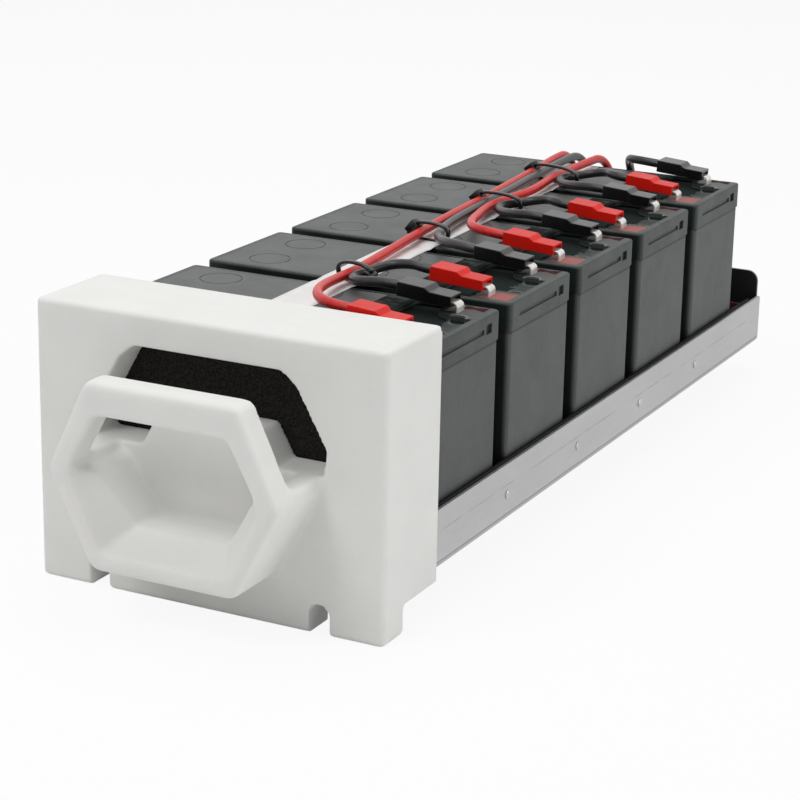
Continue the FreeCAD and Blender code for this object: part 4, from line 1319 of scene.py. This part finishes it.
WIRE_ROUTES: dict[str, list[Point]] = {
    "wire_red_1": [
        (18.0, 60.0, 121.0), (9.6, 73.0, 120.2), (4.2, 90.0, 118.6), (1.4, 107.0, 117.2), (1.1, 124.0, 117.0),
        (-1.2, 146.0, 116.8), (-4.6, 175.0, 116.8), (-7.4, 203.0, 117.0), (-10.4, 235.0, 117.0),
        (-12.6, 266.0, 116.9), (-14.4, 297.0, 117.0), (-17.2, 328.0, 116.9), (-19.6, 359.0, 117.0),
        (-22.6, 384.0, 116.8), (-24.2, 401.0, 117.0), (-24.4, 416.6, 117.0), (-23.2, 425.2, 108.4),
        (-20.4, 425.5, 93.0), (-17.4, 425.5, 80.0), (-16.5, 425.2, 68.4), (-16.5, 425.3, 55.6),
        (-16.5, 433.8, 47.0),
    ],
    "wire_grey_2": [
        (18.6, 178.6, 120.6), (9.8, 188.6, 119.0), (2.8, 202.0, 117.3), (-2.4, 218.0, 117.0),
        (-5.4, 238.0, 117.0), (-7.6, 264.0, 116.9), (-9.4, 291.0, 117.0), (-11.6, 320.0, 116.9),
        (-14.2, 349.0, 117.0), (-16.4, 376.0, 116.8), (-17.6, 399.0, 117.0), (-17.2, 416.6, 117.0),
        (-15.0, 425.2, 108.4), (-10.6, 425.6, 93.0), (-6.8, 425.5, 80.0), (-5.5, 425.2, 68.4),
        (-5.5, 425.3, 55.6), (-5.5, 433.8, 47.0),
    ],
    "wire_red_3": [
        (18.5, 209.4, 121.0), (11.3, 219.0, 120.2), (5.8, 233.0, 119.0), (1.6, 248.0, 117.8),
        (-1.8, 260.0, 117.1), (-3.7, 272.0, 117.0), (-3.9, 286.0, 117.0), (-2.6, 299.0, 116.9),
        (-0.9, 314.0, 116.8), (-2.2, 332.0, 116.9), (-4.6, 350.0, 117.0), (-4.8, 366.0, 117.0),
        (-5.2, 384.0, 116.8), (-4.6, 401.0, 117.0), (-3.8, 416.6, 117.0), (-1.4, 425.2, 108.4),
        (2.4, 425.6, 93.0), (4.9, 425.5, 80.0), (5.5, 425.2, 68.4), (5.5, 425.3, 55.6), (5.5, 433.8, 47.0),
    ],
    "wire_black_5": [
        (19.5, 404.5, 120.6), (13.6, 413.0, 118.9), (12.0, 420.8, 111.4), (12.4, 425.0, 100.5),
        (14.0, 425.6, 88.0), (15.8, 425.5, 78.0), (16.5, 425.2, 68.2), (16.5, 425.3, 55.6),
        (16.5, 433.8, 47.0),
    ],
    "jumper_1_2": [
        (15.2, 99.6, 119.2), (6.3, 108.8, 117.1), (6.2, 122.4, 117.0), (14.6, 131.0, 120.0),
        (25.4, 130.4, 121.6),
    ],
    "jumper_3_4": [
        (19.0, 252.0, 119.8), (8.2, 260.5, 117.8), (1.7, 270.5, 117.0), (1.6, 279.5, 117.0),
        (5.1, 285.5, 117.0), (11.1, 289.0, 118.2), (17.4, 289.0, 119.6), (22.5, 286.8, 120.6),
        (26.4, 282.9, 121.0),
    ],
    "jumper_4_5": [
        (19.0, 327.6, 119.8), (7.8, 337.0, 117.8), (0.8, 347.8, 117.0), (0.6, 357.5, 117.0),
        (4.1, 363.5, 117.0), (10.1, 367.0, 118.2), (16.7, 367.0, 119.6), (22.2, 364.1, 120.6),
        (25.7, 359.0, 121.0),
    ],
}


# ---------------------------------------------------------------- studio
@dataclass
class Softbox:
    """A large square lamp that looks at the cartridge."""

    name: str
    place: Point
    size: float
    power: float
    target: Point = (0.0, 0.0, 0.06)

    def build(self) -> None:
        """Adds the lamp."""
        data = bpy.data.lights.new(self.name, "AREA")
        data.shape = "SQUARE"
        data.size = self.size
        data.energy = self.power
        lamp = bpy.data.objects.new(self.name, data)
        lamp.location = self.place
        look = Vector(self.target) - Vector(self.place)
        lamp.rotation_euler = look.to_track_quat("-Z", "Y").to_euler()
        bpy.context.scene.collection.objects.link(lamp)


LAMPS: tuple[Softbox, ...] = (
    Softbox("top lamp", (-0.2, 0.1, 1.5), 1.0, 8.2),
    Softbox("right lamp", (1.6, 0.1, 0.75), 0.9, 8.5),
    Softbox("front lamp", (-0.4, -1.1, 1.4), 0.7, 8.2),
)


@dataclass
class Studio:
    """Pale floor, soft light and the camera."""

    camera_place: Point = (0.4711, -0.9735, 0.3686)
    yaw: float = 26.775
    pitch: float = 17.223
    roll: float = 1.152
    lens: float = 105.92
    floor_size: float = 12.0
    sky: float = 0.40
    board_strength: float = 1.0
    board_share: float = 0.9

    def camera(self) -> None:
        """Adds the camera and makes it the scene's own."""
        data = bpy.data.cameras.new("camera")
        data.lens = self.lens
        data.sensor_width = 36.0
        data.clip_end = 50.0
        camera = bpy.data.objects.new("camera", data)
        turn = (
            Matrix.Rotation(math.radians(self.yaw), 4, "Z")
            @ Matrix.Rotation(math.radians(90 - self.pitch), 4, "X")
            @ Matrix.Rotation(math.radians(self.roll), 4, "Z")
        )
        camera.matrix_world = Matrix.Translation(self.camera_place) @ turn
        bpy.context.scene.collection.objects.link(camera)
        bpy.context.scene.camera = camera

    def seen_rays(self, sheet: NodeSheet) -> Value:
        """Finds the rays that show the white background.

        Args:
            sheet: the tree.

        Returns:
            1 for camera, glossy and transmission rays.
        """
        rays = sheet.node("ShaderNodeLightPath")
        seen = rays.out("Is Camera Ray").highest(rays.out("Is Glossy Ray"))
        return seen.highest(rays.out("Is Transmission Ray"))

    def floor(self) -> None:
        """Adds the white floor, which keeps the soft shadow."""
        mesh = bmesh.new()
        bmesh.ops.create_grid(mesh, x_segments=1, y_segments=1, size=self.floor_size / 2)
        piece = place_mesh("floor", mesh, smooth=False)
        made = bpy.data.materials.new("floor")
        made.use_nodes = True
        sheet = NodeSheet(made.node_tree)
        seen = self.seen_rays(sheet)
        board = sheet.node("ShaderNodeBsdfDiffuse", None, {"Color": (0.86, 0.86, 0.86)})
        glow = {"Color": (1.0, 1.0, 1.0), "Strength": self.board_strength}
        white = sheet.node("ShaderNodeEmission", None, glow)
        parts = {0: seen * self.board_share, 1: board.out(0), 2: white.out(0)}
        mixed = sheet.node("ShaderNodeMixShader", None, parts)
        sheet.node("ShaderNodeOutputMaterial", None, {"Surface": mixed.out(0)})
        piece.data.materials.append(made)

    def world(self) -> None:
        """Sets the even light from all round and the white behind the floor."""
        world = bpy.data.worlds.new("studio")
        world.use_nodes = True
        sheet = NodeSheet(world.node_tree)
        strength = self.seen_rays(sheet) * (1.0 - self.sky) + self.sky
        sky = sheet.node("ShaderNodeBackground", None, {"Color": (1.0, 1.0, 1.0), "Strength": strength})
        sheet.node("ShaderNodeOutputWorld", None, {"Surface": sky.out(0)})
        bpy.context.scene.world = world

    def build(self) -> None:
        """Builds the whole studio."""
        bpy.context.scene.view_settings.view_transform = "Standard"
        self.camera()
        self.floor()
        self.world()
        for lamp in LAMPS:
            lamp.build()


def main() -> None:
    """Builds the dressed cartridge in order."""
    logging.basicConfig(level=logging.INFO, format="%(message)s")
    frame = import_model()
    dresser = Dresser(frame)
    dresser.dress_nodes()
    row = BatteryRow(dresser)
    FrontBezel(dresser).build()
    row.build()
    WireBundle(dresser, row, WIRE_ROUTES).build()
    for tie in CABLE_TIES:
        tie.build(dresser)
    Studio().build()
    bpy.context.view_layer.update()


if __name__ == "__main__":
    main()
